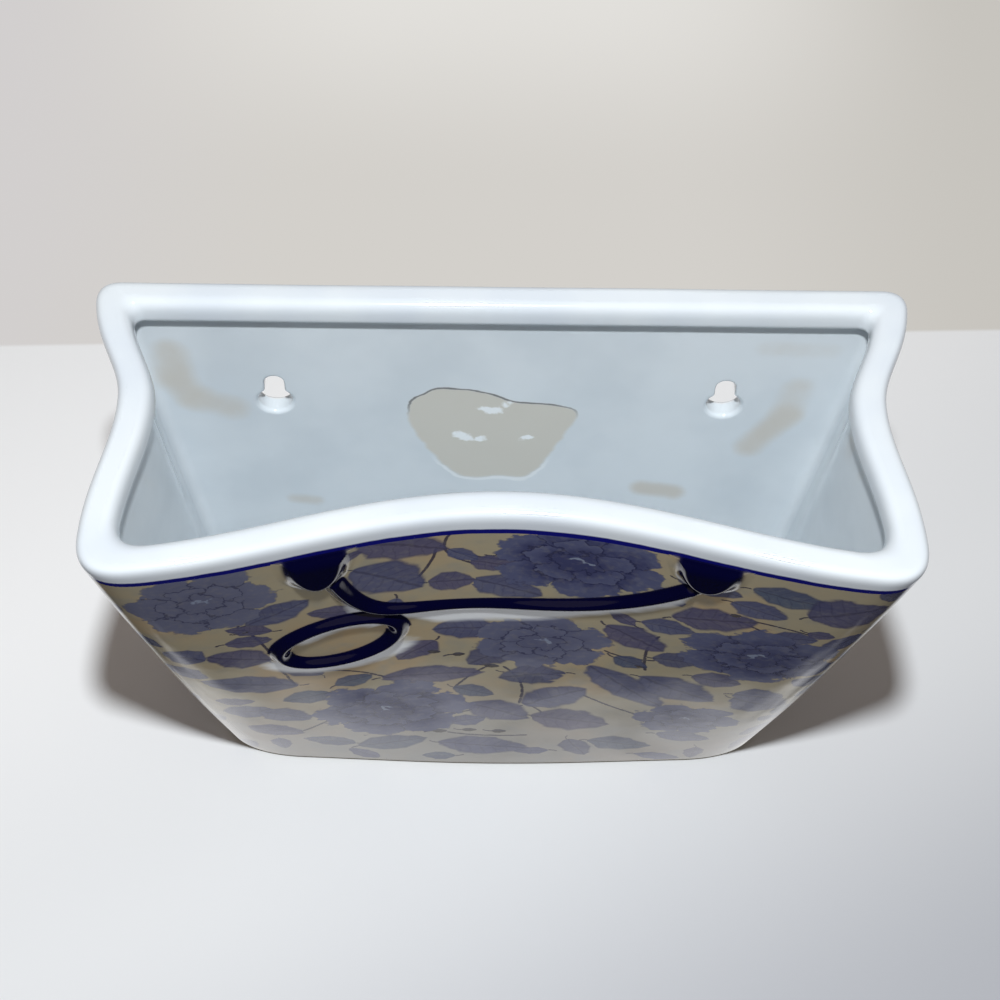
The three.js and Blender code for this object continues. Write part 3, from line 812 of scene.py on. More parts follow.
class Graph:
    """Short calls that build a material's node tree."""

    def __init__(self, name: str) -> None:
        """Start an empty material of that name."""
        self.material = bpy.data.materials.new(name)
        self.material.use_nodes = True
        self.tree = self.material.node_tree
        self.tree.nodes.clear()

    def node(self, kind: str, **options: object) -> bpy.types.Node:
        """Add a node and set its options."""
        made = self.tree.nodes.new(kind)
        for key, value in options.items():
            setattr(made, key, value)
        return made

    def feed(self, socket: Socket, value: object) -> None:
        """Link a socket, or set its own value."""
        if isinstance(value, Socket):
            self.tree.links.new(value, socket)
        else:
            socket.default_value = value

    def math(self, operation: str, *values: object) -> Socket:
        """Return the result of a Math node."""
        made = self.node("ShaderNodeMath", operation=operation)
        for socket, value in zip(made.inputs, values):
            self.feed(socket, value)
        return made.outputs[0]

    def add(self, a: object, b: object) -> Socket:
        """Return a plus b."""
        return self.math("ADD", a, b)

    def less(self, a: object, b: object) -> Socket:
        """Return a less b."""
        return self.math("SUBTRACT", a, b)

    def times(self, a: object, b: object) -> Socket:
        """Return a times b."""
        return self.math("MULTIPLY", a, b)

    def most(self, a: object, b: object) -> Socket:
        """Return the larger of a and b."""
        return self.math("MAXIMUM", a, b)

    def abs(self, a: object) -> Socket:
        """Return a without its sign."""
        return self.math("ABSOLUTE", a)

    def step(self, value: object, low: float, high: float) -> Socket:
        """Return 0 to 1 as value goes from low to high, smoothly. Low may be above high.

        Args:
            value: what is compared.
            low: where the rise starts.
            high: where it ends.

        Returns:
            The share.
        """
        made = self.node("ShaderNodeMapRange", interpolation_type="SMOOTHSTEP")
        flip = low > high
        self.feed(made.inputs["Value"], value)
        self.feed(made.inputs["From Min"], min(low, high))
        self.feed(made.inputs["From Max"], max(low, high))
        self.feed(made.inputs["To Min"], 1.0 if flip else 0.0)
        self.feed(made.inputs["To Max"], 0.0 if flip else 1.0)
        return made.outputs["Result"]

    def blend(self, share: object, a: object, b: object) -> Socket:
        """Return a colour between a and b.

        Args:
            share: how much of b.
            a: the first colour.
            b: the second colour.

        Returns:
            The colour.
        """
        made = self.node("ShaderNodeMix", data_type="RGBA")
        self.feed(made.inputs[0], share)
        self.feed(made.inputs[6], a)
        self.feed(made.inputs[7], b)
        return made.outputs[2]

    def attribute(self, name: str, output: str = "Fac") -> Socket:
        """Return one of the mesh's own attributes, as a number or by its Vector output."""
        return self.node("ShaderNodeAttribute", attribute_name=name).outputs[output]

    def parts(self, vector: Socket) -> list[Socket]:
        """Return a vector's three parts."""
        made = self.node("ShaderNodeSeparateXYZ")
        self.feed(made.inputs[0], vector)
        return list(made.outputs)

    def place(self) -> Socket:
        """Return the object coordinates, in metres."""
        return self.node("ShaderNodeTexCoord").outputs["Object"]

    def noise(self, size_mm: float, detail: float = 2.0, stretch: tuple = (1.0, 1.0, 1.0)) -> Socket:
        """Return noise from 0 to 1 whose blotches are about size_mm across, more along a stretched axis.

        Args:
            size_mm: the blotches' size.
            detail: layers of finer noise.
            stretch: how much longer the blotches are along each axis.

        Returns:
            The noise.
        """
        mapping = self.node("ShaderNodeMapping")
        self.feed(mapping.inputs["Vector"], self.place())
        mapping.inputs["Scale"].default_value = tuple(1.0 / (size_mm * MM * k) for k in stretch)
        made = self.node("ShaderNodeTexNoise")
        self.feed(made.inputs["Vector"], mapping.outputs[0])
        made.inputs["Scale"].default_value = 1.0
        made.inputs["Detail"].default_value = detail
        return made.outputs[0]

    def sway(self, size_mm: float, detail: float = 2.0, stretch: tuple = (1.0, 1.0, 1.0)) -> Socket:
        """Return noise from -0.5 to 0.5."""
        return self.less(self.noise(size_mm, detail, stretch), 0.5)

    def bump(self, height: object, strength: float, distance_mm: float) -> Socket:
        """Return a normal bumped by height, whose full range is distance_mm.

        Args:
            height: 0 to 1.
            strength: share of the effect.
            distance_mm: the relief's full range.

        Returns:
            The normal.
        """
        made = self.node("ShaderNodeBump")
        made.inputs["Strength"].default_value = strength
        made.inputs["Distance"].default_value = distance_mm * MM
        self.feed(made.inputs["Height"], height)
        return made.outputs[0]

    def finish(self, colour: object, roughness: object, normal: object, **constants: float) -> Material:
        """End the tree in a Principled shader and return the material.

        Args:
            colour: a colour.
            roughness: a share.
            normal: a bumped normal.
            constants: other inputs by name.

        Returns:
            The material.
        """
        shader = self.node("ShaderNodeBsdfPrincipled")
        self.feed(shader.inputs["Base Color"], colour)
        self.feed(shader.inputs["Roughness"], roughness)
        if normal is not None:
            self.feed(shader.inputs["Normal"], normal)
        for key, value in constants.items():
            shader.inputs[key].default_value = value
        out = self.node("ShaderNodeOutputMaterial")
        self.tree.links.new(shader.outputs[0], out.inputs["Surface"])
        return self.material


def tint(red: float, green: float, blue: float) -> tuple[float, float, float, float]:
    """Return a linear colour from display values of 0 to 255."""
    linear = [c / 12.92 if c <= 0.04045 else ((c + 0.055) / 1.055) ** 2.4
              for c in (red / 255.0, green / 255.0, blue / 255.0)]
    return (*linear, 1.0)


@dataclass(frozen=True)
class WhiteGlaze:
    """Clear glaze over white porcelain, faintly blue where it is thick, with tan smudges of painted
    reflection inside the back wall.

    The cobalt line is drawn where the attribute rim_rise, the height over the lip's lower edge outside,
    is below line_height. The attribute scar is SCAR_EDGE more than the depth inside the scar on the back
    wall, whose dark line of painted shade above and pale rim of painted highlight below fade in between two
    heights each.
    """

    name: str = "white_glaze"
    body: tuple = tint(222, 228, 233)
    pooled: tuple = tint(214, 221, 229)
    tan: tuple = tint(206, 199, 187)
    scar: tuple = tint(212, 209, 200)
    scar_painted_shade: tuple = tint(130, 130, 130)
    scar_painted_highlight: tuple = tint(246, 250, 252)
    cobalt: tuple = tint(14, 16, 112)
    line_height: float = 2.0
    line_soft: float = 0.35
    scar_shade_from: Pair = (120.0, 128.0)
    scar_highlight_below: Pair = (104.0, 96.0)
    roughness: float = 0.08
    ripple: float = 0.16

    def material(self) -> Material:
        """Build the material.

        Returns:
            The material.
        """
        g = Graph(self.name)
        colour = g.blend(g.step(g.noise(34.0, 3.0), 0.35, 0.7), self.body, self.pooled)
        # Painted reflection: tan smudges inside the back wall, ragged at the edge.
        reflection_smudge = g.attribute("painted_reflection_smudge")
        edge = g.add(reflection_smudge, g.times(g.sway(9.0, 4.0), 0.5))
        reflection_share = g.times(g.step(edge, 0.0, 1.0), g.step(reflection_smudge, 0.0, 0.3))
        colour = g.blend(g.times(reflection_share, 0.75), colour, self.tan)
        colour = self.rim_line(g, self.scar_and_painted_light(g, colour))
        waves = g.bump(g.noise(16.0, 2.0), 0.5, self.ripple)
        return g.finish(colour, self.roughness, waves, IOR=1.5)

    def scar_and_painted_light(self, g: Graph, colour: Socket) -> Socket:
        """Draw the scar, with painted shade as a dark line above, painted highlight as a pale rim below and
        pale painted glints in it, all ragged.

        Args:
            g: the graph.
            colour: what lies below.

        Returns:
            The colour with the flaw.
        """
        ragged = g.times(g.sway(7.0, 4.0, (2.0, 1.0, 0.6)), 2.6)
        deep = g.add(g.attribute("scar"), ragged)
        high = g.parts(g.place())[2]
        colour = g.blend(g.step(deep, SCAR_EDGE - 0.8, SCAR_EDGE + 0.8), colour, self.scar)
        # Painted shade: a dark line along the scar's upper edge.
        line = g.step(g.abs(g.less(deep, SCAR_EDGE)), 0.5, 0.15)
        low, full = (level * MM for level in self.scar_shade_from)
        colour = g.blend(g.times(line, g.step(high, low, full)), colour, self.scar_painted_shade)
        # Painted highlight: a pale rim along the scar's lower edge.
        rim = g.step(g.abs(g.less(deep, SCAR_EDGE - 0.8)), 0.9, 0.2)
        low, full = (level * MM for level in self.scar_highlight_below)
        colour = g.blend(g.times(g.times(rim, g.step(high, low, full)), 0.6), colour, self.scar_painted_highlight)
        # Painted glints: pale spots in the scar.
        painted_glint = g.add(g.attribute("painted_glint"), g.times(g.sway(2.5, 3.0), 1.1))
        return g.blend(g.step(painted_glint, 0.3, 0.65), colour, self.scar_painted_highlight)

    def rim_line(self, g: Graph, colour: Socket) -> Socket:
        """Draw the cobalt line along the lip's lower edge, wandering a little.

        Args:
            g: the graph.
            colour: what lies below.

        Returns:
            The colour with the line.
        """
        rise = g.attribute("rim_rise")
        wander = g.times(g.sway(11.0, 3.0), 1.1)
        top, soft = self.line_height, self.line_soft
        on_line = g.step(g.add(rise, wander), top + soft, top - soft)
        return g.blend(g.times(on_line, g.step(rise, 0.0, 0.05)), colour, self.cobalt)


INNER_GLAZE = WhiteGlaze("inner_glaze", body=tint(224, 231, 236), pooled=tint(213, 221, 227))


@dataclass(frozen=True)
class PrintedGlaze:
    """Clear glaze over a tan ground with the blue print, and soft cobalt where the relief is painted; painted
    highlights in white below the relief and in bright blue on the bosses' tops, and a painted reflection
    greying the ground towards the foot.
    """

    name: str = "printed_glaze"
    ground: tuple = tint(164, 154, 129)
    ground_warm: tuple = tint(173, 153, 121)
    ground_grey: tuple = tint(150, 146, 132)
    painted_reflection_grey: tuple = tint(136, 139, 147)
    slate: tuple = tint(85, 89, 119)
    slate_deep: tuple = tint(62, 65, 99)
    violet: tuple = tint(87, 84, 111)
    teal: tuple = tint(80, 90, 112)
    faded: tuple = tint(110, 112, 131)
    line: tuple = tint(30, 30, 62)
    bud: tuple = tint(70, 66, 66)
    pale: tuple = tint(140, 150, 170)
    cobalt: tuple = tint(3, 3, 35)
    cobalt_thin: tuple = tint(25, 24, 52)
    # White of the unprinted back, and of the painted highlight below the relief.
    white: tuple = tint(228, 231, 233)
    rim_line_and_highlight_blue: tuple = tint(14, 16, 112)
    painted_reflection_from: Pair = (85.0, 10.0)
    roughness: float = 0.07
    ripple: float = 0.22

    def leaf(self, g: Graph, layer: Motif, colour: object, wobble: object) -> Socket:
        """Draw a layer of leaves: the half-width is sin(pi u^0.85)^0.7 less a small serration.

        Args:
            g: the material's graph.
            layer: which leaf attribute to read.
            colour: what lies below.
            wobble: noise that makes the edge uneven.

        Returns:
            The colour with the leaves over it.
        """
        u, v, tone = g.parts(g.attribute(layer.value, "Vector"))
        u = g.add(u, g.times(wobble, 0.10))
        v = g.add(v, g.times(wobble, 0.30))
        inside = g.times(g.step(u, 0.0, 0.03), g.step(u, 1.0, 0.97))
        kept = g.math("MINIMUM", g.most(u, 0.0001), 0.9999)
        wave = g.math("SINE", g.times(g.math("POWER", kept, 0.85), math.pi))
        half = g.math("POWER", g.most(wave, 0.0), 0.7)
        teeth = g.times(g.abs(g.math("SINE", g.times(u, 11.0))), 0.09)
        half = g.less(half, teeth)
        off = g.abs(v)
        depth = g.less(half, off)
        fill = g.times(g.step(depth, -0.02, 0.2), inside)
        rim = g.times(g.step(depth, 0.26, 0.06), fill)
        rib = g.times(g.step(off, 0.09, 0.02), 0.45)
        veins = g.math("SINE", g.times(g.less(u, g.times(off, 0.16)), 46.0))
        veins = g.times(g.step(veins, 0.75, 1.0), 0.22)
        body = g.blend(g.step(tone, 0.25, 0.45), self.slate, self.violet)
        body = g.blend(g.step(tone, 0.55, 0.75), body, self.teal)
        body = g.blend(g.step(tone, 0.85, 0.95), body, self.bud)
        body = g.blend(g.times(g.step(v, -0.1, 0.3), 0.35), body, self.slate_deep)
        dark = g.most(g.times(rim, 0.6), g.most(rib, veins))
        body = g.blend(dark, body, self.line)
        return g.blend(g.times(fill, 0.94), colour, body)

    def petals(self, g: Graph, angle: object, lobes: int, phase: float, low: float, high: float) -> tuple:
        """Return a ring of petals' radius, low + high |sin(lobes a / 2 + phase)|^0.6, and its bare wave."""
        wave = g.abs(g.math("SINE", g.add(g.times(angle, lobes / 2.0), phase)))
        return g.add(g.times(g.math("POWER", wave, 0.6), high), low), wave

    def bloom(self, g: Graph, colour: object, wobble: object, grain: object) -> Socket:
        """Draw the blossoms: three rings of petals inside each other, with dark lines between the petals.

        Args:
            g: the material's graph.
            colour: what lies below.
            wobble: noise for x.
            grain: noise for y.

        Returns:
            The colour with the blossoms over it.
        """
        x, y, tone = g.parts(g.attribute(Motif.BLOOM.value, "Vector"))
        x = g.add(x, g.times(wobble, 0.5))
        y = g.add(y, g.times(grain, 0.5))
        radius = g.math("SQRT", g.add(g.times(x, x), g.times(y, y)))
        angle = g.math("ARCTAN2", y, x)
        outer, outer_wave = self.petals(g, angle, 6, 0.4, 0.84, 0.27)
        middle, middle_wave = self.petals(g, angle, 5, 1.5, 0.46, 0.2)
        inner, _ = self.petals(g, angle, 4, 0.2, 0.2, 0.13)
        fill = g.step(g.less(outer, radius), -0.02, 0.05)
        shade = g.math("DIVIDE", g.less(radius, middle), 0.35)
        in_middle = g.step(g.less(middle, radius), 0.0, 0.02)
        in_inner = g.step(g.less(inner, radius), 0.0, 0.02)
        body = g.blend(g.step(shade, 0.9, -0.1), self.slate, self.slate_deep)
        body = g.blend(g.times(in_middle, g.step(radius, 0.25, 0.62)), body, self.slate)
        body = g.blend(g.times(in_inner, 0.7), body, self.slate_deep)
        body = g.blend(g.times(tone, 0.9), body, self.faded)
        between = g.times(g.step(outer_wave, 0.16, 0.03), g.less(1.0, in_middle))
        between_inner = g.times(g.step(middle_wave, 0.2, 0.04), in_middle)
        between_inner = g.times(between_inner, g.less(1.0, in_inner))
        lines = g.most(between, between_inner)
        for edge, wide in ((outer, 0.035), (middle, 0.028), (inner, 0.028)):
            gap = g.abs(g.less(edge, radius))
            lines = g.most(lines, g.step(gap, wide, wide * 0.3))
        body = g.blend(g.times(lines, 0.55), body, self.line)
        curl = g.step(g.abs(g.less(radius, 0.12)), 0.035, 0.012)
        curl = g.times(curl, g.step(g.math("SINE", g.add(angle, 0.8)), 0.1, 0.5))
        body = g.blend(g.times(curl, 0.75), body, self.pale)
        return g.blend(fill, colour, body)

    def material(self) -> Material:
        """Build the material.

        Returns:
            The material.
        """
        g = Graph(self.name)
        broad, fine = g.noise(30.0, 3.0), g.noise(2.2, 3.0)
        wobble = g.sway(5.0, 3.0)
        grain = g.sway(4.0, 3.0, (1.0, 1.0, 0.8))
        colour = g.blend(g.step(broad, 0.42, 0.68), self.ground, self.ground_warm)
        colour = g.blend(g.times(g.step(g.noise(9.0, 3.0), 0.45, 0.7), 0.6), colour, self.ground_grey)
        # Painted reflection: the ground turns greyer and cooler towards the foot, where the glaze would
        # mirror the floor.
        height = g.parts(g.place())[2]
        top, foot = (level * MM for level in self.painted_reflection_from)
        colour = g.blend(g.times(g.step(height, top, foot), 0.6), colour, self.painted_reflection_grey)
        across, past, _ = g.parts(g.attribute(Motif.STEM.value, "Vector"))
        width = g.add(g.abs(g.add(across, g.times(wobble, 0.7))), past)
        colour = g.blend(g.times(g.step(width, 0.6, 0.3), 0.85), colour, self.line)
        colour = self.leaf(g, Motif.LEAF_UNDER, colour, wobble)
        colour = self.leaf(g, Motif.LEAF_OVER, colour, grain)
        colour = self.bloom(g, colour, wobble, grain)
        colour = g.blend(g.times(g.step(fine, 0.45, 0.75), 0.14), colour, self.ground_grey)
        # White where the attribute bare asks, streaked: the unprinted back, and on the front the painted
        # highlight below the relief.
        white = g.attribute("bare")
        streak = g.add(white, g.times(g.sway(3.0, 3.0, (3.0, 1.0, 1.0)), 0.6))
        faded = g.times(g.step(streak, 0.0, 1.0), g.step(white, 0.0, 0.3))
        colour = g.blend(faded, colour, self.white)
        paint = g.attribute("paint")
        colour = g.blend(g.step(paint, 0.02, 0.6), colour, self.cobalt_thin)
        colour = g.blend(g.step(paint, 0.3, 0.9), colour, self.cobalt)
        # The lip's blue line along the wall's top, and a painted highlight: the same bright blue on the
        # bosses' paint just under the lip, where light would fall on their tops.
        drop = g.add(g.attribute("rim_rise"), g.times(g.sway(11.0, 3.0), 0.8))
        lit = g.times(g.step(drop, -5.0, -0.5), g.step(paint, 0.3, 0.9))
        colour = g.blend(g.most(g.step(drop, -0.55, -0.25), lit), colour, self.rim_line_and_highlight_blue)
        waves = g.bump(g.noise(13.0, 2.0), 0.5, self.ripple)
        return g.finish(colour, self.roughness, waves, IOR=1.5)


@dataclass(frozen=True)
class Biscuit:
    """Bare fired clay on the foot, warmer in blotches and dark olive at its lowest edge, where it rests on
    the floor.
    """

    name: str = "bare_foot"
    clay: tuple = tint(222, 214, 202)
    warm: tuple = tint(166, 132, 106)
    edge: tuple = tint(84, 79, 52)
    roughness: float = 0.62

    def material(self) -> Material:
        """Build the material.

        Returns:
            The material.
        """
        g = Graph(self.name)
        colour = g.blend(g.step(g.noise(6.0, 4.0), 0.4, 0.75), self.clay, self.warm)
        rise = g.parts(g.place())[2]
        colour = g.blend(g.step(rise, 0.1 * MM, 0.5 * MM), colour, self.edge)
        grains = g.bump(g.noise(0.5, 3.0), 0.4, 0.08)
        return g.finish(colour, self.roughness, grains)


@dataclass(frozen=True)
class Relief:
    """The rope handle moulded on the front: two bosses, a hanging run and a loop, filleted into the wall.

    Each part is a height over the wall that falls below zero outside it, and the surface is the smooth
    maximum of the wall and all of them. Of a pair of places, a change starts at the first and is full at the
    second; boss_x and boss_tip hold the left boss and the right one. The knot is where the loop meets the
    run, and run_thin is a place, a reach and a share.
    """

    rope_half: float = 2.5
    rope_proud: float = 2.2
    fillet: float = 1.7
    boss_x: Pair = (-48.0, 53.0)
    boss_tip: Pair = (143.6, 146.4)
    boss_half: float = 9.0
    boss_straight: float = 161.0
    boss_edge: Pair = (3.2, 6.6)
    boss_ramp: float = 4.2
    boss_proud: float = 2.5
    run_thin: Triple = (-9.0, 17.0, 0.4)
    run_ends: Pair = (-44.0, 49.5)
    run_low: Pair = (-4.0, 121.5)
    run_top: float = 145.0
    run_curl: Pair = (6.5, 2.9)
    loop_middle: Pair = (-44.0, 105.7)
    loop_half: Pair = (17.5, 12.4)
    loop_tilt: float = 30.0
    least: float = 0.03
    depth: float = 1.0
    paint_edge: Pair = (3.4, 2.3)
    paint_spread: Pair = (0.86, 1.08)
    boss_paint: Pair = (-0.7, 3.0)
    # The painted highlight below the relief: how it fades, where under a rope it starts, and its widths.
    highlight_fade: float = 3.6
    highlight_under: Pair = (0.25, 0.75)
    run_highlight: Pair = (8.0, 12.3)
    run_broad_left: Pair = (-26.0, -16.0)
    run_broad_right: Pair = (34.0, 4.0)
    run_highlight_left: Pair = (-47.0, -40.0)
    run_highlight_right: Pair = (56.0, 46.0)
    loop_highlight: Triple = (8.6, 1.8, 4.0)
    loop_outside: Pair = (12.0, 15.0)
    loop_foot: Pair = (98.0, 94.0)
    knot: Pair = (-27.0, 108.0)
    knot_reach: Pair = (9.0, 2.0)
    # The painted highlight along each boss's lower edge.
    boss_highlight: Triple = (-0.2, 0.9, 0.8)
    boss_highlight_sides: Pair = (20.0, 12.0)
    boss_highlight_top: Pair = (9.0, 4.0)

    def run_curve(self, t: Array) -> tuple[Array, Array]:
        """Return the run's x and z: a power curve that hangs low and curls up towards each boss.

        Args:
            t: shares of the way.

        Returns:
            x and z.
        """
        x = mix(self.run_ends[0], self.run_ends[1], t)
        low_x, low_z = self.run_low
        left = x < low_x
        reach = np.where(left, self.run_ends[0] - low_x, self.run_ends[1] - low_x)
        share = (x - low_x) / reach
        curl = np.where(left, self.run_curl[0], self.run_curl[1])
        return x, low_z + (self.run_top - low_z) * np.maximum(share, 0.0) ** curl

    def loop_curve(self, t: Array) -> tuple[Array, Array]:
        """Return the loop's x and z: an ellipse turned by loop_tilt."""
        a, tilt = 2 * np.pi * t, math.radians(self.loop_tilt)
        u, v = self.loop_half[0] * np.cos(a), self.loop_half[1] * np.sin(a)
        return (self.loop_middle[0] + u * math.cos(tilt) - v * math.sin(tilt),
                self.loop_middle[1] + u * math.sin(tilt) + v * math.cos(tilt))

    @staticmethod
    def nearest(curve: Curve, x: Array, z: Array, closed: bool) -> tuple[Array, Array]:
        """Return each point's distance from a curve and its rise above the curve's nearest place.

        The nearest of some samples starts a few Gauss-Newton steps, t less the offset along the tangent
        over its length squared.

        Args:
            curve: returns x and z for a share.
            x: places across.
            z: heights.
            closed: whether the curve is a ring.

        Returns:
            Distances and rises.
        """
        samples, steps, h = 96, 7, 1e-4
        grid = (np.arange(samples) + 0.5) / samples
        cx, cz = curve(grid)
        t = grid[((x[..., None] - cx) ** 2 + (z[..., None] - cz) ** 2).argmin(axis=-1)]
        for _ in range(steps):
            (px, pz), (nx, nz) = curve(t), curve(t + h)
            tx, tz = (nx - px) / h, (nz - pz) / h
            t = t - ((px - x) * tx + (pz - z) * tz) / (tx * tx + tz * tz)
            t = np.mod(t, 1.0) if closed else np.clip(t, 0.0, 1.0)
        px, pz = curve(t)
        return np.hypot(px - x, pz - z), z - pz

    def rope(self, distance: Array, x: Array | None = None) -> Array:
        """Return a rope's height: a parabola across it, lower round the middle of the run."""
        middle, reach, share = self.run_thin
        low = 0.0 if x is None else share * np.exp(-(((x - middle) / reach) ** 2))
        return self.rope_proud * (1.0 - low) * (1.0 - (distance / self.rope_half) ** 2)

    def boss_inside(self, side: int, x: Array, z: Array) -> Array:
        """Return about how far inside a boss's outline a point lies: a half ellipse that hangs from the lip.

        The distance is 1 less the ellipse's norm, over the length of the norm's gradient.

        Args:
            side: 0 on the left, 1 on the right.
            x: places across.
            z: heights.

        Returns:
            Distances, below zero outside.
        """
        long = self.boss_straight - self.boss_tip[side]
        u = (x - self.boss_x[side]) / self.boss_half
        v = np.maximum(self.boss_straight - z, 0.0) / long
        norm = np.maximum(np.hypot(u, v), 1e-6)
        return (1.0 - norm) / np.maximum(np.hypot(u / self.boss_half, v / long) / norm, 1e-3)

    def boss(self, side: int, x: Array, z: Array) -> Array:
        """Return a boss's height: a low cushion with a rounded edge that runs into the wall under the lip.

        With e the distance inside in edge widths, the height is e (2 - e) of full, and the ramp at the top
        is the same curve of the distance below the lip. The edge is wider at the sides than at the tip.

        Args:
            side: 0 on the left, 1 on the right.
            x: places across.
            z: heights.

        Returns:
            Heights over the wall.
        """
        aside = np.minimum(np.abs(x - self.boss_x[side]) / self.boss_half, 1.0)
        edge = np.minimum(self.boss_inside(side, x, z) / mix(*self.boss_edge, aside * aside), 1.0)
        ramp = np.minimum((LIP_BOTTOM - z) / self.boss_ramp, 1.0)
        least = np.minimum(edge, ramp)
        return self.boss_proud * least * (2.0 - least)

    def fields(self, x: Array, z: Array) -> dict[str, Array]:
        """Return each part's height field by its node's name, with what the paint needs of the ropes.

        Args:
            x: places across.
            z: heights.

        Returns:
            Arrays like x, by name.
        """
        run, run_rise = self.nearest(self.run_curve, x, z, False)
        loop, loop_rise = self.nearest(self.loop_curve, x, z, True)
        return {
            "handle_run": self.rope(run, x), "handle_loop": self.rope(loop),
            "left_handle_boss": self.boss(0, x, z), "right_handle_boss": self.boss(1, x, z),
            "run_gap": run, "run_rise": run_rise, "loop_gap": loop, "loop_rise": loop_rise,
        }

    def height(self, f: dict[str, Array]) -> Array:
        """Return the height over the wall."""
        total = np.zeros_like(f["handle_run"])
        for name in RELIEF_NODES:
            total = smooth_max(total, f[name], self.fillet)
        return total

    def paint(self, f: dict[str, Array], x: Array, z: Array) -> Array:
        """Return how thick the cobalt lies, 0 to 1: full on the ropes and bosses, bleeding out above them.

        Args:
            f: the fields.
            x: places across.
            z: heights.

        Returns:
            Shares.
        """
        def on_rope(part: str) -> Array:
            """Return the paint on one of the ropes, which reaches further above it than below."""
            gap = f[part + "_gap"] * np.where(f[part + "_rise"] > 0, *self.paint_spread)
            return smooth_step(gap, *self.paint_edge)

        paint = np.maximum(on_rope("run"), on_rope("loop"))
        for side in range(len(self.boss_x)):
            paint = np.maximum(paint, smooth_step(self.boss_inside(side, x, z), *self.boss_paint))
        return paint

    def margin(self, f: dict[str, Array], x: Array, z: Array) -> Array:
        """Return the painted highlight below the relief, white that stands in for the glaze's reflection
        there, fading outwards.

        It reaches a width below each rope, wider in the middle of the run and outside the loop, and runs as
        a narrow line along a boss's lower edge, a bell of the distance inside its outline.

        Args:
            f: the fields.
            x: places across.
            z: heights.

        Returns:
            Shares.
        """
        def below(part: str, width: Array) -> Array:
            """Return the painted highlight of that width below one of the ropes."""
            gap = f[part + "_gap"]
            under = smooth_step(-f[part + "_rise"] / np.maximum(gap, 0.1), *self.highlight_under)
            return under * np.clip((width - gap) / self.highlight_fade, 0.0, 1.0)

        broad = smooth_step(x, *self.run_broad_left) * smooth_step(x, *self.run_broad_right)
        ends = smooth_step(x, *self.run_highlight_left), smooth_step(x, *self.run_highlight_right)
        run_width = mix(*self.run_highlight, broad) * ends[0] * ends[1]
        loop_x, loop_z = self.loop_middle
        outside = smooth_step(np.hypot(x - loop_x, z - loop_z), *self.loop_outside)
        knot = smooth_step(np.hypot(x - self.knot[0], z - self.knot[1]), *self.knot_reach)
        inner, more, most = self.loop_highlight
        loop_width = inner + (more + most * knot) * np.maximum(outside, smooth_step(z, *self.loop_foot))
        pale = np.maximum(below("run", run_width), below("loop", loop_width))
        line, soft, share = self.boss_highlight
        for side, (tip, middle) in enumerate(zip(self.boss_tip, self.boss_x)):
            edge = np.exp(-(((self.boss_inside(side, x, z) - line) / soft) ** 2))
            near = smooth_step(np.abs(x - middle), *self.boss_highlight_sides)
            pale = np.maximum(pale, share * edge * near * smooth_step(z - tip, *self.boss_highlight_top))
        return pale


@dataclass(frozen=True)
class Sheet:
    """The front's shared grid: the plain wall, the skin over the relief, and the print's chart and shares."""

    plain: Array
    plain_normal: Array
    lifted: Array
    normal: Array
    chart: Array
    paint: Array
    margin: Array


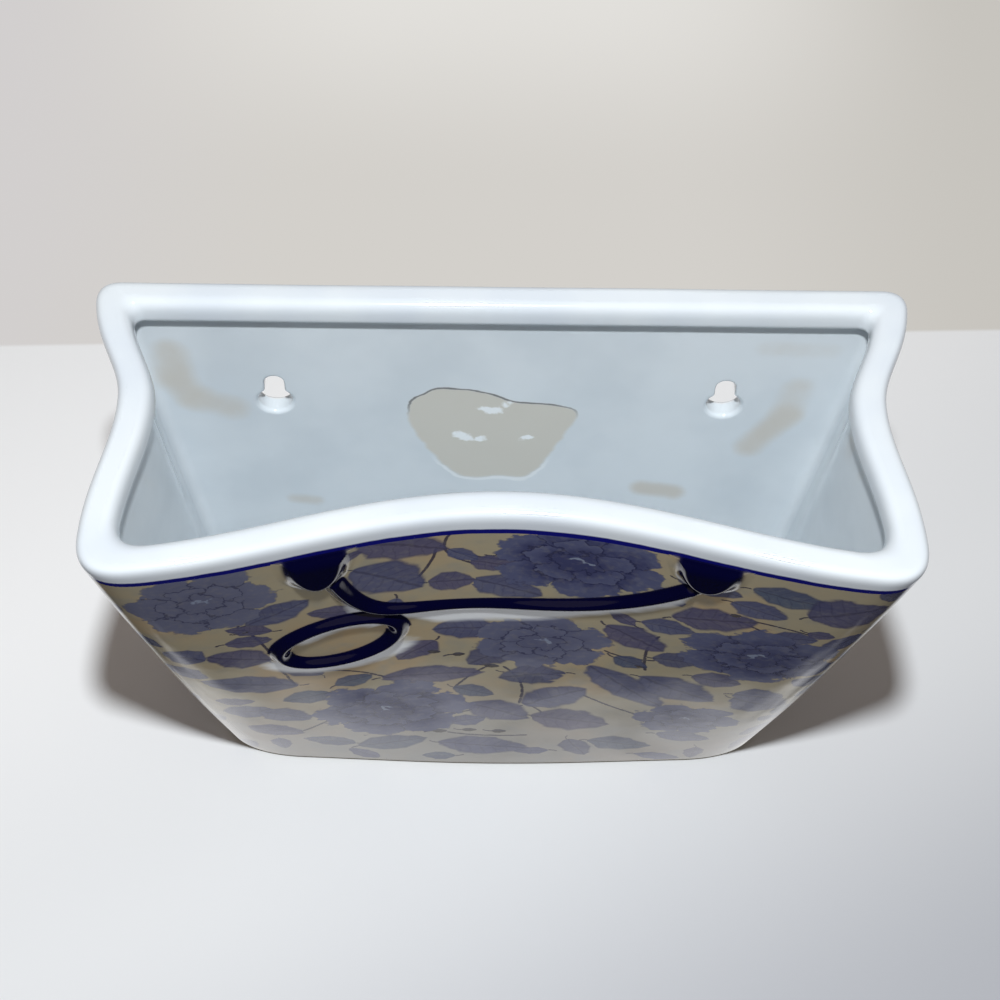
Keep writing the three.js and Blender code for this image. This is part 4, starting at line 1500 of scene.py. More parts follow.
@dataclass
class FrontWall:
    """The front wall with its rounded corners, and the handle's four pieces on it.

    The relief is worked out within near_half of the middle and above near_from; elsewhere each part's field
    lies at less far. The wall's skin is sunk below the handle's pieces.
    """

    plan: Plan
    relief: Relief
    pattern: Pattern
    low_step: float = 0.9
    high_step: float = 0.5
    fine_from: float = 86.0
    side_steps: int = 6
    corner_steps: int = 18
    face_steps: int = 312
    inner_step: float = 2.4
    inner_steps: tuple[int, int, int] = (3, 8, 90)
    near_half: float = 68.0
    near_from: float = 76.0
    sunk: float = 0.5
    far: float = 99.0

    def parameters(self, heights: Array, inset: float, steps: tuple[int, int, int]) -> Array:
        """Return s for the wall from its right join round the front to its left join."""
        join = self.plan.front_seam(heights, inset)
        side, corner, face = steps
        breaks = [join, 3.0, FACE_FROM, TURN - FACE_FROM, 7.0, TURN - join]
        return columns(breaks, [side, corner, face, corner, side])

    def lifted(self, s: Array, z: Array) -> Array:
        """Return the outside with the relief on it: the plain wall moved along its normal by the height."""
        points = self.plan.points(s, z)
        near = self.height_at(points[..., 0], points[..., 2])
        return points + self.plan.normals(s, z) * near[..., None]

    def near(self, x: Array, z: Array) -> Array:
        """Return whether a point lies where the relief or its painted highlight can be."""
        return (np.abs(x) < self.near_half) & (z > self.near_from)

    def height_at(self, x: Array, z: Array) -> Array:
        """Return the relief's height, worked out only where it can be above zero."""
        height = np.zeros(np.shape(x))
        near = self.near(x, z)
        height[near] = self.relief.height(self.relief.fields(x[near], z[near]))
        return height

    def build(self, printed: Material, inner: Material) -> None:
        """Make the wall and the handle's pieces on one shared grid, so that their skins meet with no gap.

        Args:
            printed: the outer glaze.
            inner: the inner glaze.
        """
        heights = levels((BASE_TOP, self.low_step), (self.fine_from, self.high_step), (LIP_BOTTOM, 0.0))
        s = self.parameters(heights, 0.0, (self.side_steps, self.corner_steps, self.face_steps))
        z = np.broadcast_to(heights[:, None], s.shape)
        plain, plain_normal = self.plan.points(s, z), self.plan.normals(s, z)
        x = plain[..., 0]
        near = self.near(x, z)
        fields = {name: np.full(s.shape, -self.far) for name in RELIEF_NODES}
        height, paint, margin = np.zeros(s.shape), np.zeros(s.shape), np.zeros(s.shape)
        found = self.relief.fields(x[near], z[near])
        for name in RELIEF_NODES:
            fields[name][near] = found[name]
        height[near] = self.relief.height(found)
        paint[near] = self.relief.paint(found, x[near], z[near])
        margin[near] = self.relief.margin(found, x[near], z[near])
        lifted = plain + plain_normal * height[..., None]
        normal, chart = facing(self.lifted, s, z), self.plan.chart(s, z)
        sheet = Sheet(plain, plain_normal, lifted, normal, chart, paint, margin)

        def cell(values: Array) -> Array:
            """Return the mean of each cell's four corners."""
            return (values[:-1, :-1] + values[1:, :-1] + values[:-1, 1:] + values[1:, 1:]) / 4

        owner = np.argmax([cell(fields[name]) for name in RELIEF_NODES], axis=0)
        raised = cell(height) > self.relief.least
        self.build_wall(sheet, raised, printed, inner)
        for k, name in enumerate(RELIEF_NODES):
            self.build_relief(name, sheet, raised & (owner == k), printed)

    def build_wall(self, sheet: Sheet, raised: Array, printed: Material, inner: Material) -> None:
        """Make the wall: its skin follows the relief's edge and is sunk below the handle's pieces.

        Args:
            sheet: the shared grid.
            raised: its cells that the relief covers.
            printed: the outer glaze.
            inner: the inner glaze.
        """
        bare = np.zeros(sheet.paint.shape, bool)
        for rows in (slice(None, -1), slice(1, None)):
            for cols in (slice(None, -1), slice(1, None)):
                bare[rows, cols] |= ~raised
        skin = np.where(bare[..., None], sheet.lifted, sheet.plain - sheet.plain_normal * self.sunk)
        work = Patchwork()
        outside = work.add_points(skin, sheet.normal, sheet.chart)
        work.surface(outside, Skin.OUTSIDE, True)
        low = levels((BASE_TOP, self.inner_step), (LIP_BOTTOM, 0.0))
        s = self.parameters(low, self.plan.wall, self.inner_steps)
        z = np.broadcast_to(low[:, None], s.shape)
        wall = self.plan.wall
        inside = work.add_points(self.plan.points(s, z, wall), -self.plan.normals(s, z, wall))
        work.surface(inside, Skin.INSIDE, False)
        work.close(outside, inside)
        within = np.zeros(inside.size)
        # On the outside the attribute bare carries the painted highlight below the relief.
        extra = {
            "paint": np.concatenate([sheet.paint.ravel(), within]),
            "rim_rise": np.concatenate([(sheet.chart[..., 1] - LIP_BOTTOM).ravel(), within + NO_LINE]),
            "bare": np.concatenate([sheet.margin.ravel(), within + 1.0]),
        }
        piece = write_mesh("front_panel", work, [printed, inner, inner], self.pattern, extra)
        settle(piece, "printed_glaze", "front_panel")

    def build_relief(self, name: str, sheet: Sheet, cells: Array, printed: Material) -> None:
        """Make one of the handle's pieces: its cells of the skin, closed by the same cells inside the wall.

        Args:
            name: the piece's name.
            sheet: the shared grid.
            cells: its cells in the piece.
            printed: the glaze.
        """
        cells = np.pad(cells, 1)
        here = cells[1:-1, 1:-1]
        ids = np.arange(sheet.paint.size).reshape(sheet.paint.shape)
        top = grid_quads(ids, True)[here.ravel()]
        sides = [
            (cells[1:-1, :-2], ids[1:, :-1], ids[:-1, :-1]), (cells[1:-1, 2:], ids[:-1, 1:], ids[1:, 1:]),
            (cells[2:, 1:-1], ids[1:, 1:], ids[1:, :-1]), (cells[:-2, 1:-1], ids[:-1, :-1], ids[:-1, 1:]),
        ]
        used = np.unique(top)
        count = len(used)
        lookup = np.full(ids.size, -1)
        lookup[used] = np.arange(count)
        behind = sheet.plain - sheet.plain_normal * self.relief.depth
        front, normal, behind = (each.reshape(-1, 3)[used] for each in (sheet.lifted, sheet.normal, behind))
        work = Patchwork()
        work.add_points(front, normal, sheet.chart.reshape(-1, 2)[used])
        work.add_points(behind)
        work.add_faces(lookup[top], Skin.OUTSIDE)
        work.add_faces(lookup[top][:, ::-1] + count, Skin.EDGE, False)
        for beyond, first, second in sides:
            edge = here & ~beyond
            a, b = lookup[first[edge]], lookup[second[edge]]
            work.add_faces(np.stack([a, b, b + count, a + count], axis=1), Skin.EDGE, False)
        # The attribute bare carries the painted highlight below the relief.
        extra = {"paint": np.tile(sheet.paint.ravel()[used], 2), "rim_rise": np.full(2 * count, NO_LINE),
                 "bare": np.tile(sheet.margin.ravel()[used], 2)}
        piece = write_mesh(name, work, [printed], self.pattern, extra)
        settle(piece, "cobalt_glaze", name)


@dataclass
class Gusset:
    """A pinched side wall."""

    plan: Plan
    pattern: Pattern
    step: float = 1.3
    inner_step: float = 2.4
    cells: int = 60
    inner_cells: int = 28

    def skin(self, work: Patchwork, right: bool, step: float, count: int, inset: float,
             outward: bool) -> Array:
        """Add one face of the wall and return its point numbers.

        Args:
            work: the mesh so far.
            right: which gusset.
            step: the rows' distance.
            count: steps across.
            inset: how far in.
            outward: outside or not.

        Returns:
            The grid's point numbers.
        """
        heights = levels((BASE_TOP, step), (LIP_BOTTOM, 0.0))
        a, b = self.plan.back_seam(heights, inset), self.plan.front_seam(heights, inset)
        s = columns([a, b] if right else [TURN - b, TURN - a], [count])
        z = np.broadcast_to(heights[:, None], s.shape)
        normal = self.plan.normals(s, z, inset) * (1.0 if outward else -1.0)
        ids = work.add_points(self.plan.points(s, z, inset), normal, self.plan.chart(s, z))
        work.surface(ids, Skin.OUTSIDE if outward else Skin.INSIDE, outward)
        return ids

    def build(self, name: str, right: bool, printed: Material, inner: Material) -> None:
        """Make the gusset on the right or left.

        Args:
            name: the piece's name.
            right: which gusset.
            printed: the outer glaze.
            inner: the inner glaze.
        """
        work = Patchwork()
        outside = self.skin(work, right, self.step, self.cells, 0.0, True)
        inside = self.skin(work, right, self.inner_step, self.inner_cells, self.plan.wall, False)
        work.close(outside, inside)
        drop = np.concatenate([p[:, 2] for p in work.points]) - LIP_BOTTOM
        zero = np.zeros(work.count)
        rise = np.where(np.arange(work.count) < outside.size, drop, NO_LINE)
        extra = {"paint": zero, "rim_rise": rise, "bare": zero}
        piece = write_mesh(name, work, [printed, inner, inner], self.pattern, extra)
        settle(piece, "printed_glaze", name)


@dataclass
class Keyhole:
    """A keyhole through the back wall: a round eye and a narrower slot above it, by their half widths."""

    eye: float = 4.8
    slot: float = 2.8
    rise: float = 7.6
    soft: float = 0.6

    def reach(self, angle: Array) -> Array:
        """Return the outline's distance from the eye's middle, by the angle from straight up.

        The slot's side is slot / sin a away until its round end, which is at rise cos a plus the root of
        slot squared less rise squared sin squared a; the outline is the smooth maximum of that and the eye.

        Args:
            angle: angles.

        Returns:
            Distances.
        """
        up, across = np.cos(angle), np.abs(np.sin(angle))
        side = self.slot / np.maximum(across, 1e-6)
        round_end = self.rise * up + np.sqrt(np.maximum(self.slot**2 - (self.rise * across) ** 2, 0.0))
        slot = np.where(up > 0, np.where(side * up > self.rise, round_end, side), 0.0)
        return smooth_max(np.full_like(slot, self.eye), slot, self.soft)


@dataclass
class BackWall:
    """The flat back wall with its rounded corners and two keyholes.

    A smudge of painted reflection is a stroke: its two ends, radius and strength. The scar is a closed
    outline, and a painted glint an ellipse: its middle, half sizes and turn in degrees.
    """

    plan: Plan
    pattern: Pattern
    keyhole: Keyhole
    spacing: float = 128.0
    height: float = 127.0
    window: tuple[int, int] = (7, 9)
    rounding: float = 1.3
    step: float = 1.6
    ring_steps: int = 7
    round_steps: int = 6
    side_steps: int = 8
    corner_steps: int = 14
    flat_steps: int = 128
    scar_reach: float = 9.0
    reflection_smudge_strokes: tuple = (
        (-92.6, 148.0, -91.5, 137.0, 9.0, 0.7), (-91.5, 137.0, -87.0, 128.0, 9.0, 0.5),
        (-87.0, 128.0, -76.0, 123.5, 8.5, 0.65), (74.0, 152.5, 92.0, 151.5, 6.5, 0.35),
        (84.5, 135.0, 82.0, 123.0, 8.5, 0.5), (82.0, 123.0, 73.0, 108.5, 7.5, 0.85),
        (43.0, 88.0, 53.0, 86.0, 5.5, 1.0), (-61.0, 81.0, -54.0, 80.0, 4.0, 0.6),
    )
    scar: tuple = (
        (-26.2, 125.9), (-22.8, 130.5), (-17.1, 133.7), (-5.7, 132.1), (5.8, 127.8), (21.6, 124.5),
        (17.9, 110.6), (9.6, 93.7), (0.7, 93.0), (-11.2, 93.3), (-20.0, 105.2), (-25.2, 116.8),
    )
    painted_glints: tuple = (
        (-2.7, 124.1, 4.5, 1.7, -12), (2.0, 127.0, 2.0, 1.0, 20), (-10.5, 112.0, 4.0, 1.8, -25),
        (-5.5, 110.5, 2.2, 1.4, 30), (8.2, 111.3, 3.0, 1.1, 15),
    )

    def skin(self, work: Patchwork, inset: float, outward: bool) -> tuple[Array, list]:
        """Add one face of the wall with a window round each keyhole.

        Args:
            work: the mesh so far.
            inset: how far in.
            outward: outside or not.

        Returns:
            The grid's point numbers, and for each keyhole the ring of points round its edge.
        """
        heights = levels((BASE_TOP, self.step), (LIP_BOTTOM, 0.0))
        join = self.plan.back_seam(heights, inset)
        half = [self.side_steps, self.corner_steps]
        s = columns([-join, -2.0, -1.0, 1.0, 2.0, join], [*half, self.flat_steps, *half[::-1]])
        z = np.broadcast_to(heights[:, None], s.shape)
        points = self.plan.points(s, z, inset)
        normal = self.plan.normals(s, z, inset) * (1.0 if outward else -1.0)
        ids = work.add_points(points, normal, self.plan.chart(s, z))
        closed = np.ones((ids.shape[0] - 1, ids.shape[1] - 1), bool)
        rings = []
        kind = Skin.OUTSIDE if outward else Skin.INSIDE
        for side in (-1, 1):
            centre = np.array([side * self.spacing / 2, self.height + self.keyhole.rise / 3])
            row = int(np.abs(heights - centre[1]).argmin())
            col = int(np.abs(points[row, :, 0] - centre[0]).argmin())
            r0, r1 = row - self.window[1], row + self.window[1]
            c0, c1 = col - self.window[0], col + self.window[0]
            closed[r0:r1, c0:c1] = False
            loop = np.concatenate([ids[r0, c0:c1], ids[r0:r1, c1], ids[r1, c1:c0:-1], ids[r1:r0:-1, c0]])
            rings.append(self.ring(work, loop, side, points.reshape(-1, 3)[loop - ids[0, 0]], kind, outward))
        work.add_faces(grid_quads(ids, outward)[closed.ravel()], kind)
        return ids, rings

    def ring(self, work: Patchwork, loop: Array, side: int, outer: Array, kind: Skin,
             outward: bool) -> Array:
        """Fill a window: rings run evenly from its edge in to the keyhole, then round over into the hole.

        Args:
            work: the mesh so far.
            loop: the window's edge.
            side: -1 or 1.
            outer: the edge's points.
            kind: the face's skin.
            outward: outside or not.

        Returns:
            The numbers of the innermost ring.
        """
        eye = np.array([side * self.spacing / 2, self.height])
        d = outer[:, [0, 2]] - eye
        angle = np.arctan2(d[:, 0], d[:, 1])
        reach = self.keyhole.reach(angle) + self.rounding
        direction = np.stack([np.sin(angle), np.cos(angle)], axis=1)
        depth_sign = -1.0 if outward else 1.0
        rows = []
        for t in np.linspace(0, 1, self.ring_steps + 1)[1:]:
            flat = mix(d, direction * reach[:, None], t)
            rows.append(np.column_stack([flat[:, 0] + eye[0], outer[:, 1], flat[:, 1] + eye[1]]))
        for a in np.linspace(0, math.pi / 2, self.round_steps + 1)[1:]:
            radius = reach - self.rounding * math.sin(a)
            flat = direction * radius[:, None]
            sunk = depth_sign * self.rounding * (1 - math.cos(a))
            rows.append(np.column_stack([flat[:, 0] + eye[0], outer[:, 1] + sunk, flat[:, 1] + eye[1]]))
        ids = work.add_points(np.array(rows), None, np.full((len(rows), len(loop), 2), self.pattern.side_end))
        work.add_faces(grid_quads(wrap(np.concatenate([loop[None], ids])), outward), kind)
        return ids[-1]

    def marks_and_painted_light(self, x: Array, z: Array) -> dict[str, Array]:
        """Return the marks inside: strokes of painted reflection, the broad scar and the painted glints that
        lie in it.

        A stroke fades with the distance from its line over its radius, the scar is SCAR_EDGE more than the
        depth inside its outline, a closed curve through its points, and a glint is a bell over an ellipse.
        A point is inside the outline where the sides that pass it upwards and downwards don't cancel out.

        Args:
            x: places across.
            z: heights.

        Returns:
            Values for each point, by attribute name.
        """
        reflection_smudge, painted_glint = np.zeros_like(x), np.zeros_like(x)
        # Tan smudges of painted reflection, each faded out from its stroke.
        for x0, z0, x1, z1, radius, much in self.reflection_smudge_strokes:
            run = np.array([x1 - x0, z1 - z0])
            t = np.clip(((x - x0) * run[0] + (z - z0) * run[1]) / (run @ run), 0.0, 1.0)
            gap = np.hypot(x - x0 - t * run[0], z - z0 - t * run[1])
            reflection_smudge = 1.0 - (1.0 - reflection_smudge) * (1.0 - much * smooth_step(gap, radius, 0.1 * radius))
        # Painted glints: a bell over each ellipse.
        for x0, z0, wide, tall, turn in self.painted_glints:
            c, s = math.cos(math.radians(turn)), math.sin(math.radians(turn))
            u, v = ((x - x0) * c + (z - z0) * s) / wide, ((z - z0) * c - (x - x0) * s) / tall
            painted_glint = np.maximum(painted_glint, np.exp(-(u * u + v * v)))
        line = round_loop(np.array(self.scar))
        run = np.roll(line, -1, axis=0) - line
        dx, dz = x[:, None] - line[:, 0], z[:, None] - line[:, 1]
        t = np.clip((dx * run[:, 0] + dz * run[:, 1]) / (run**2).sum(axis=1), 0.0, 1.0)
        gap = np.hypot(dx - t * run[:, 0], dz - t * run[:, 1]).min(axis=1)
        ahead = dx * run[:, 1] - dz * run[:, 0]
        up, down = (dz >= 0) & (dz < run[:, 1]), (dz < 0) & (dz >= run[:, 1])
        winding = (up & (ahead < 0)).sum(axis=1) - (down & (ahead > 0)).sum(axis=1)
        deep = np.clip(np.where(winding != 0, gap, -gap), -self.scar_reach, self.scar_reach)
        return {"painted_reflection_smudge": reflection_smudge, "painted_glint": painted_glint, "scar": SCAR_EDGE + deep}

    def build(self, printed: Material, inner: Material) -> None:
        """Make the back wall.

        Args:
            printed: the outer glaze.
            inner: the inner glaze.
        """
        work = Patchwork()
        outside, outer_rings = self.skin(work, 0.0, True)
        count_outside = work.count
        inside, inner_rings = self.skin(work, self.plan.wall, False)
        for a, b in zip(outer_rings, inner_rings):
            work.add_faces(grid_quads(wrap(np.stack([a, b])), True), Skin.INSIDE)
        work.close(outside, inside)
        points = np.concatenate(work.points)
        is_outside = np.arange(work.count) < count_outside
        bare = np.where(is_outside, self.plan.behind(points), 1.0)
        rise = np.where(is_outside & (bare < 0.5), points[:, 2] - LIP_BOTTOM, NO_LINE)
        extra = {"paint": np.zeros(work.count), "rim_rise": rise, "bare": bare}
        for key, values in self.marks_and_painted_light(points[:, 0], points[:, 2]).items():
            extra[key] = np.where(is_outside, 0.0, values)
        piece = write_mesh("back_panel", work, [printed, inner, inner], self.pattern, extra)
        settle(piece, "white_glaze", "back_panel")


@dataclass
class Lip:
    """The rolled lip: a flattened round over a straight outer edge, tucked in under its inner side.

    It is uneven by a sum of waves round the mouth, each with its count, phase and share. The blue line is
    drawn on the outer line_share of its width, where rim_rise starts at line_from.
    """

    plan: Plan
    width: float = 9.4
    shoulder: float = 3.0
    fullness: float = 0.58
    steps: int = 36
    tuck_steps: int = 8
    outer_steps: int = 4
    turn_steps: tuple[int, ...] = (50, 14, 48, 18, 190)
    waver: float = 0.22
    waves: tuple = ((3, 0.7, 1.0), (7, 2.1, 0.6), (17, 0.0, 0.4))
    lift_share: float = 0.6
    lift_shift: int = 9
    line_share: float = 0.3
    line_from: float = 0.1

    def section(self) -> Array:
        """Return the section's inset and rise: up the outer edge, over a flattened round and in under it.

        The round is a half superellipse, whose cosine and sine are raised to fullness.

        Returns:
            Rows of inset and rise.
        """
        middle = self.width / 2
        rise = LIP_TOP - LIP_BOTTOM - self.shoulder
        edge = np.linspace(0, self.shoulder, self.outer_steps, endpoint=False)
        a = np.linspace(0, math.pi, self.steps, endpoint=False)
        b = np.linspace(0, math.pi / 2, self.tuck_steps)
        tuck = self.width - self.plan.wall
        return np.concatenate([
            np.column_stack([np.zeros_like(edge), edge]),
            np.column_stack([middle - middle * np.sign(np.cos(a)) * np.abs(np.cos(a)) ** self.fullness,
                             self.shoulder + rise * np.sin(a) ** self.fullness]),
            np.column_stack([self.plan.wall + tuck * np.cos(b), self.shoulder * (1 - np.sin(b))]),
        ])

    def build(self, white: Material) -> None:
        """Make the lip as its section carried round the outline, a little uneven as hand-finished ware is.

        Args:
            white: the glaze.
        """
        section = self.section()
        turn = full_turn(self.turn_steps)
        angle = turn * 2 * math.pi / TURN
        uneven = self.waver * sum(share * np.sin(count * angle + phase) for count, phase, share in self.waves)
        across, rise = section[:, :1], section[:, 1:]
        inset = across + uneven * across * (self.width - across) / self.width**2 * 2
        above = np.maximum(rise - self.shoulder, 0)
        lift = self.lift_share * np.roll(uneven, self.lift_shift) * above / (LIP_TOP - LIP_BOTTOM)
        z = np.minimum(LIP_BOTTOM + rise + lift, LIP_TOP)
        rings = np.stack([self.ring(turn, z[k], inset[k]) for k in range(len(section))])
        work = Patchwork()
        ids = work.add_points(rings)
        closed = wrap(np.concatenate([ids, ids[:1]]))
        work.surface(closed[:-1], Skin.OUTSIDE, True)
        work.add_faces(grid_quads(closed[-2:], True), Skin.OUTSIDE, False)
        outer = section[:, 0] < self.width * self.line_share
        drawn = np.where(outer, np.maximum(section[:, 1], self.line_from), -NO_LINE)
        extra = {"rim_rise": np.broadcast_to(drawn[:, None], rings.shape[:2]).ravel()}
        piece = write_mesh("rim_lip", work, [white], None, extra)
        settle(piece, "white_glaze", "rim_lip")

    def ring(self, s: Array, z: Array, inset: Array) -> Array:
        """Return a ring of the lip: at the mean of its insets, then moved along the normal to each one."""
        mean = float(inset.mean())
        points = self.plan.points(s, z, mean)
        outward = self.plan.normals(s, z, mean) * [1.0, 1.0, 0.0]
        return points + unit(outward) * (mean - inset)[:, None]


@dataclass
class Base:
    """The plate that the pocket stands on, with a bare foot ring and a cove up to the walls inside.

    Insets up to true_inset are measured square to the outline; further in, the ring shrinks towards the
    middle, by all of its size over shrink_over.
    """

    plan: Plan
    pattern: Pattern
    foot_width: float = 5.0
    foot_rise: float = 1.0
    edge_round: float = 1.6
    cove: float = 5.0
    arc_steps: int = 6
    turn_steps: tuple[int, ...] = (40, 14, 30, 18, 160)
    true_inset: float = 12.0
    shrink_over: float = 30.0
    under_rings: Pair = (36.0, 20.0)
    floor_rings: Pair = (24.0, 36.0)
    foot_slope: tuple = ((2.5, 1.0), (0.8, 0.7), (0.0, 0.05), (-0.5, 0.0))
    wall_from: float = 0.2
    shelf_gap: float = 0.02

    def section(self) -> tuple[Array, list[Skin]]:
        """Return the section's inset and z from the middle underneath to the middle of the floor inside.

        Returns:
            Rows of inset and z, and the skin from each row to the next.
        """
        arc = np.linspace(0, math.pi / 2, self.arc_steps + 1)
        ring_in = self.edge_round + self.foot_width
        under = [(inset, self.foot_rise) for inset in self.under_rings]
        under += [(ring_in + past, self.foot_rise * share) for past, share in self.foot_slope]
        foot = [(self.edge_round, 0.0)]
        rim = [(self.edge_round * (1 - math.sin(a)), self.edge_round * (1 - math.cos(a))) for a in arc[1:]]
        wall = [(0.0, self.edge_round + self.wall_from), (0.0, BASE_TOP)]
        shelf = [(self.plan.wall - self.shelf_gap, BASE_TOP)]
        cove = [(self.plan.wall + self.cove * (1 - math.cos(a)), BASE_TOP + self.cove * (1 - math.sin(a)))
                for a in arc]
        floor = [(inset, BASE_TOP) for inset in self.floor_rings]
        rows = [*under, *foot, *rim, *wall, *shelf, *cove, *floor]
        kinds = ([Skin.INSIDE] * 3 + [Skin.EDGE] * (3 + len(rim)) + [Skin.OUTSIDE] * 2
                 + [Skin.INSIDE] * (len(shelf) + len(cove) + len(floor)))
        return np.array(rows), kinds[: len(rows) - 1]

    def build(self, printed: Material, inner: Material, clay: Material) -> None:
        """Make the base as its section carried round the outline, closed in the middle above and below.

        Args:
            printed: the outer glaze.
            inner: the inner glaze.
            clay: the bare foot.
        """
        rows, kinds = self.section()
        turn = full_turn(self.turn_steps)
        centre = (0.0, BACK_PLANE - self.plan.corner[1] / 2)
        points = np.stack([self.inward(turn, inset, z, centre) for inset, z in rows])
        s, z = (np.broadcast_to(values, points.shape[:2]) for values in (turn, rows[:, 1:]))
        normals = np.full_like(points, np.nan)
        outer = rows[:, 0] < 0.01
        normals[outer] = self.plan.normals(s[outer], z[outer])
        work = Patchwork()
        ids = work.add_points(points, normals, self.plan.chart(s, z))
        closed = wrap(ids)
        for k, kind in enumerate(kinds):
            work.add_faces(grid_quads(closed[k:k + 2], True), kind)
        for row, up in ((0, False), (-1, True)):
            middle = work.add_points(np.array([[*centre, rows[row, 1]]]))[0]
            fan = np.stack([closed[row, :-1], closed[row, 1:], np.full(len(turn), middle)], axis=1)
            work.add_faces(fan[:, ::-1] if up else fan, Skin.INSIDE)
        zero = np.zeros(work.count)
        bare = self.plan.behind(np.concatenate(work.points))
        extra = {"paint": zero, "rim_rise": zero + NO_LINE, "bare": bare}
        piece = write_mesh("base", work, [printed, inner, clay], self.pattern, extra)
        settle(piece, "printed_glaze", "base")

    def inward(self, turn: Array, inset: float, z: float, centre: Pair) -> Array:
        """Return a ring inset from the outline: truly near the wall, shrunk towards the middle further in."""
        ring = self.plan.points(turn, np.full_like(turn, z), min(inset, self.true_inset))
        share = max(inset - self.true_inset, 0.0) / self.shrink_over
        return mix(ring, np.array([*centre, z]), share)


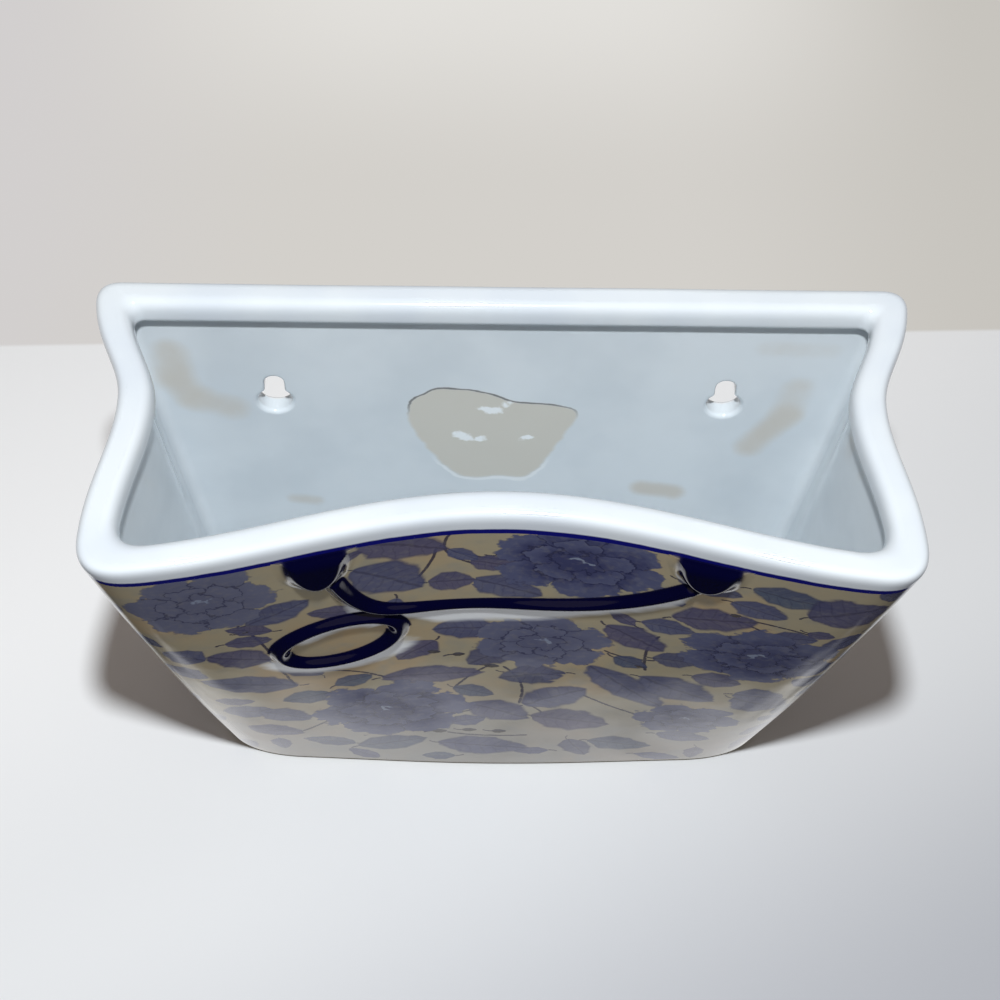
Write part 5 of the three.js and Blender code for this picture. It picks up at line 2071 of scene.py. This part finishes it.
@dataclass(frozen=True)
class Studio:
    """Camera, pale floor and lamps. Angles are in degrees and lengths in millimetres.

    Of a band, a pair of places, a change starts at the first and is full at the second. The floor's bands
    run towards the front right, and the far wall's from left to right and upwards.
    """

    yaw: float = 1.6124
    roll: float = 1.8715
    elevation: float = 53.0935
    distance: float = 605.84
    target: Triple = (-0.96, -25.04, 172.0)
    focal_pixels: float = 2389.86
    frame_pixels: float = 1000.0
    sensor: float = 36.0
    floor_half: float = 2500.0
    paper_edge: tuple[Pair, Pair] = ((-177.0, 171.0), (185.0, 184.0))
    floor_colours: tuple = (tint(250, 250, 251), tint(232, 233, 235), tint(182, 184, 190))
    far_colours: tuple = (tint(210, 207, 207), tint(211, 208, 203), tint(199, 196, 190), tint(226, 224, 220))
    floor_bands: tuple = ((-150.0, 0.0), (-10.0, 165.0))
    far_bands: tuple = ((-220.0, -60.0), (60.0, 200.0))
    top_bands: tuple = ((-200.0, -40.0), (200.0, 40.0), (250.0, 370.0))
    gloss_reach: Pair = (2.0, 40.0)
    gloss_rays: float = 50.0
    gloss_front: Pair = (30.0, 0.0)
    edge_band: Pair = (-1.0, 1.0)
    footprint: float = 86.0
    gloss_bright: tuple = tint(255, 255, 255)
    gloss_dark: tuple = tint(28, 29, 34)
    key_place: Triple = (-11.0, -338.0, 892.0)
    key_size: float = 45.0
    key_watts: float = 8.0
    key_colour: tuple = (0.935, 0.975, 1.0)
    sky: tuple = (1.0, 0.88, 0.79, 1.0)
    sky_strength: float = 0.2
    key_aim: float = 80.0
    clip: Pair = (10.0, 20000.0)

    def camera(self) -> None:
        """Place the camera by its yaw, elevation and roll about the target."""
        yaw, rise, roll = (math.radians(a) for a in (self.yaw, self.elevation, self.roll))
        ahead = Vector((math.sin(yaw) * math.cos(rise), math.cos(yaw) * math.cos(rise), -math.sin(rise)))
        level = Vector((math.cos(yaw), -math.sin(yaw), 0.0))
        above = level.cross(ahead)
        right = math.cos(roll) * level + math.sin(roll) * above
        up = -math.sin(roll) * level + math.cos(roll) * above
        data = bpy.data.cameras.new("camera")
        data.sensor_width = self.sensor
        data.lens = self.focal_pixels / self.frame_pixels * self.sensor
        data.clip_start, data.clip_end = (limit * MM for limit in self.clip)
        camera = bpy.data.objects.new("camera", data)
        turned = Matrix((right, up, -ahead)).transposed().to_4x4()
        place = (Vector(self.target) - ahead * self.distance) * MM
        camera.matrix_world = Matrix.Translation(place) @ turned
        bpy.context.scene.collection.objects.link(camera)
        bpy.context.scene.camera = camera

    def floor_colour(self, g: Graph, x: Socket, y: Socket) -> Socket:
        """Return the floor's colour, with painted shade darkening it towards the front right.

        Args:
            g: the graph.
            x: place across.
            y: place in depth.

        Returns:
            The colour.
        """
        near = g.less(g.times(x, 0.5), y)
        far_floor, mid_floor, near_floor = self.floor_colours
        first, second = self.floor_bands
        colour = g.blend(self.band(g, near, first), far_floor, mid_floor)
        return g.blend(self.band(g, near, second), colour, near_floor)

    def far_colour(self, g: Graph, x: Socket, y: Socket) -> Socket:
        """Return the colour past the paper's far edge, glowing for the camera, with painted light and shade:
        it changes from left to right, darker on the right, and is brighter in the middle above.

        Args:
            g: the graph.
            x: place across.
            y: place in depth.

        Returns:
            The colour.
        """
        left_wall, mid_wall, right_wall, top_wall = self.far_colours
        first, second = self.far_bands
        wall = g.blend(self.band(g, x, first), left_wall, mid_wall)
        wall = g.blend(self.band(g, x, second), wall, right_wall)
        left, right, up = self.top_bands
        middle = g.times(self.band(g, x, left), self.band(g, x, right))
        return g.blend(g.times(self.band(g, y, up), middle), wall, top_wall)

    def mirrored_colour(self, g: Graph, x: Socket, y: Socket) -> Socket:
        """Return what the glaze mirrors of the floor, a painted reflection glowing for glossy rays: bright by
        the pocket, dark away from its footprint.
        """
        out = g.most(g.less(g.abs(x), self.footprint * MM), g.times(y, -1.0))
        rays = g.times(g.sway(13.0, 3.0, (2.5, 1.0, 1.0)), self.gloss_rays * MM)
        return g.blend(self.band(g, g.add(out, rays), self.gloss_reach), self.gloss_bright, self.gloss_dark)

    @staticmethod
    def band(g: Graph, place: Socket, band: Pair) -> Socket:
        """Return 0 to 1 across a band in millimetres, of a place in metres."""
        return g.step(place, band[0] * MM, band[1] * MM)

    def floor_material(self) -> Material:
        """Build the floor's material, glowing in other colours past the paper's far edge and in reflections,
        both painted light.

        Returns:
            The material.
        """
        g = Graph("floor")
        x, y, _ = g.parts(g.place())
        (x1, y1), (x2, y2) = self.paper_edge
        slope = (y2 - y1) / (x2 - x1)
        past = g.less(g.less(y, g.times(x, slope)), (y1 - slope * x1) * MM)
        diffuse = g.node("ShaderNodeBsdfDiffuse")
        g.feed(diffuse.inputs["Color"], self.floor_colour(g, x, y))
        shown, mirrored = g.node("ShaderNodeEmission"), g.node("ShaderNodeEmission")
        g.feed(shown.inputs["Color"], self.far_colour(g, x, y))
        g.feed(mirrored.inputs["Color"], self.mirrored_colour(g, x, y))
        paths = g.node("ShaderNodeLightPath")
        surface = diffuse.outputs[0]
        beyond, front = self.band(g, past, self.edge_band), self.band(g, y, self.gloss_front)
        for other, where, ray in ((shown, beyond, "Is Camera Ray"), (mirrored, front, "Is Glossy Ray")):
            blend = g.node("ShaderNodeMixShader")
            g.feed(blend.inputs[0], g.times(where, paths.outputs[ray]))
            g.feed(blend.inputs[1], surface)
            g.feed(blend.inputs[2], other.outputs[0])
            surface = blend.outputs[0]
        g.feed(g.node("ShaderNodeOutputMaterial").inputs["Surface"], surface)
        return g.material

    def floor(self) -> None:
        """Lay the floor."""
        half = self.floor_half * MM
        mesh = bpy.data.meshes.new("floor")
        corners = [(-half, -half, 0), (half, -half, 0), (half, half, 0), (-half, half, 0)]
        mesh.from_pydata(corners, [], [(0, 1, 2, 3)])
        mesh.materials.append(self.floor_material())
        floor = bpy.data.objects.new("floor", mesh)
        bpy.context.scene.collection.objects.link(floor)

    def lamps(self) -> None:
        """Hang one soft lamp above and in front, and light the rest with an even pale sky."""
        data = bpy.data.lights.new("key", "AREA")
        data.shape, data.size, data.energy = "DISK", self.key_size * MM, self.key_watts
        data.color = self.key_colour
        lamp = bpy.data.objects.new("key", data)
        place = Vector(self.key_place) * MM
        aim = Vector((0.0, 0.0, self.key_aim * MM)) - place
        lamp.matrix_world = Matrix.Translation(place) @ aim.to_track_quat("-Z", "Y").to_matrix().to_4x4()
        bpy.context.scene.collection.objects.link(lamp)
        world = bpy.data.worlds.new("sky")
        world.use_nodes = True
        back = world.node_tree.nodes["Background"]
        back.inputs["Color"].default_value = self.sky
        back.inputs["Strength"].default_value = self.sky_strength
        bpy.context.scene.world = world

    def build(self) -> None:
        """Make everything that isn't the object."""
        self.camera()
        self.floor()
        self.lamps()
        bpy.context.scene.view_settings.view_transform = "Standard"


def main() -> None:
    """Build the pocket's pieces in order, then the studio."""
    logging.basicConfig(level=logging.INFO, format="%(message)s")
    plan, pattern = Plan(), Pattern()
    printed, inner = PrintedGlaze().material(), INNER_GLAZE.material()
    Base(plan, pattern).build(printed, inner, Biscuit().material())
    BackWall(plan, pattern, Keyhole()).build(printed, inner)
    for name, right in (("left_gusset", False), ("right_gusset", True)):
        Gusset(plan, pattern).build(name, right, printed, inner)
    FrontWall(plan, Relief(), pattern).build(printed, inner)
    Lip(plan).build(WhiteGlaze().material())
    Studio().build()


if __name__ == "__main__":
    main()
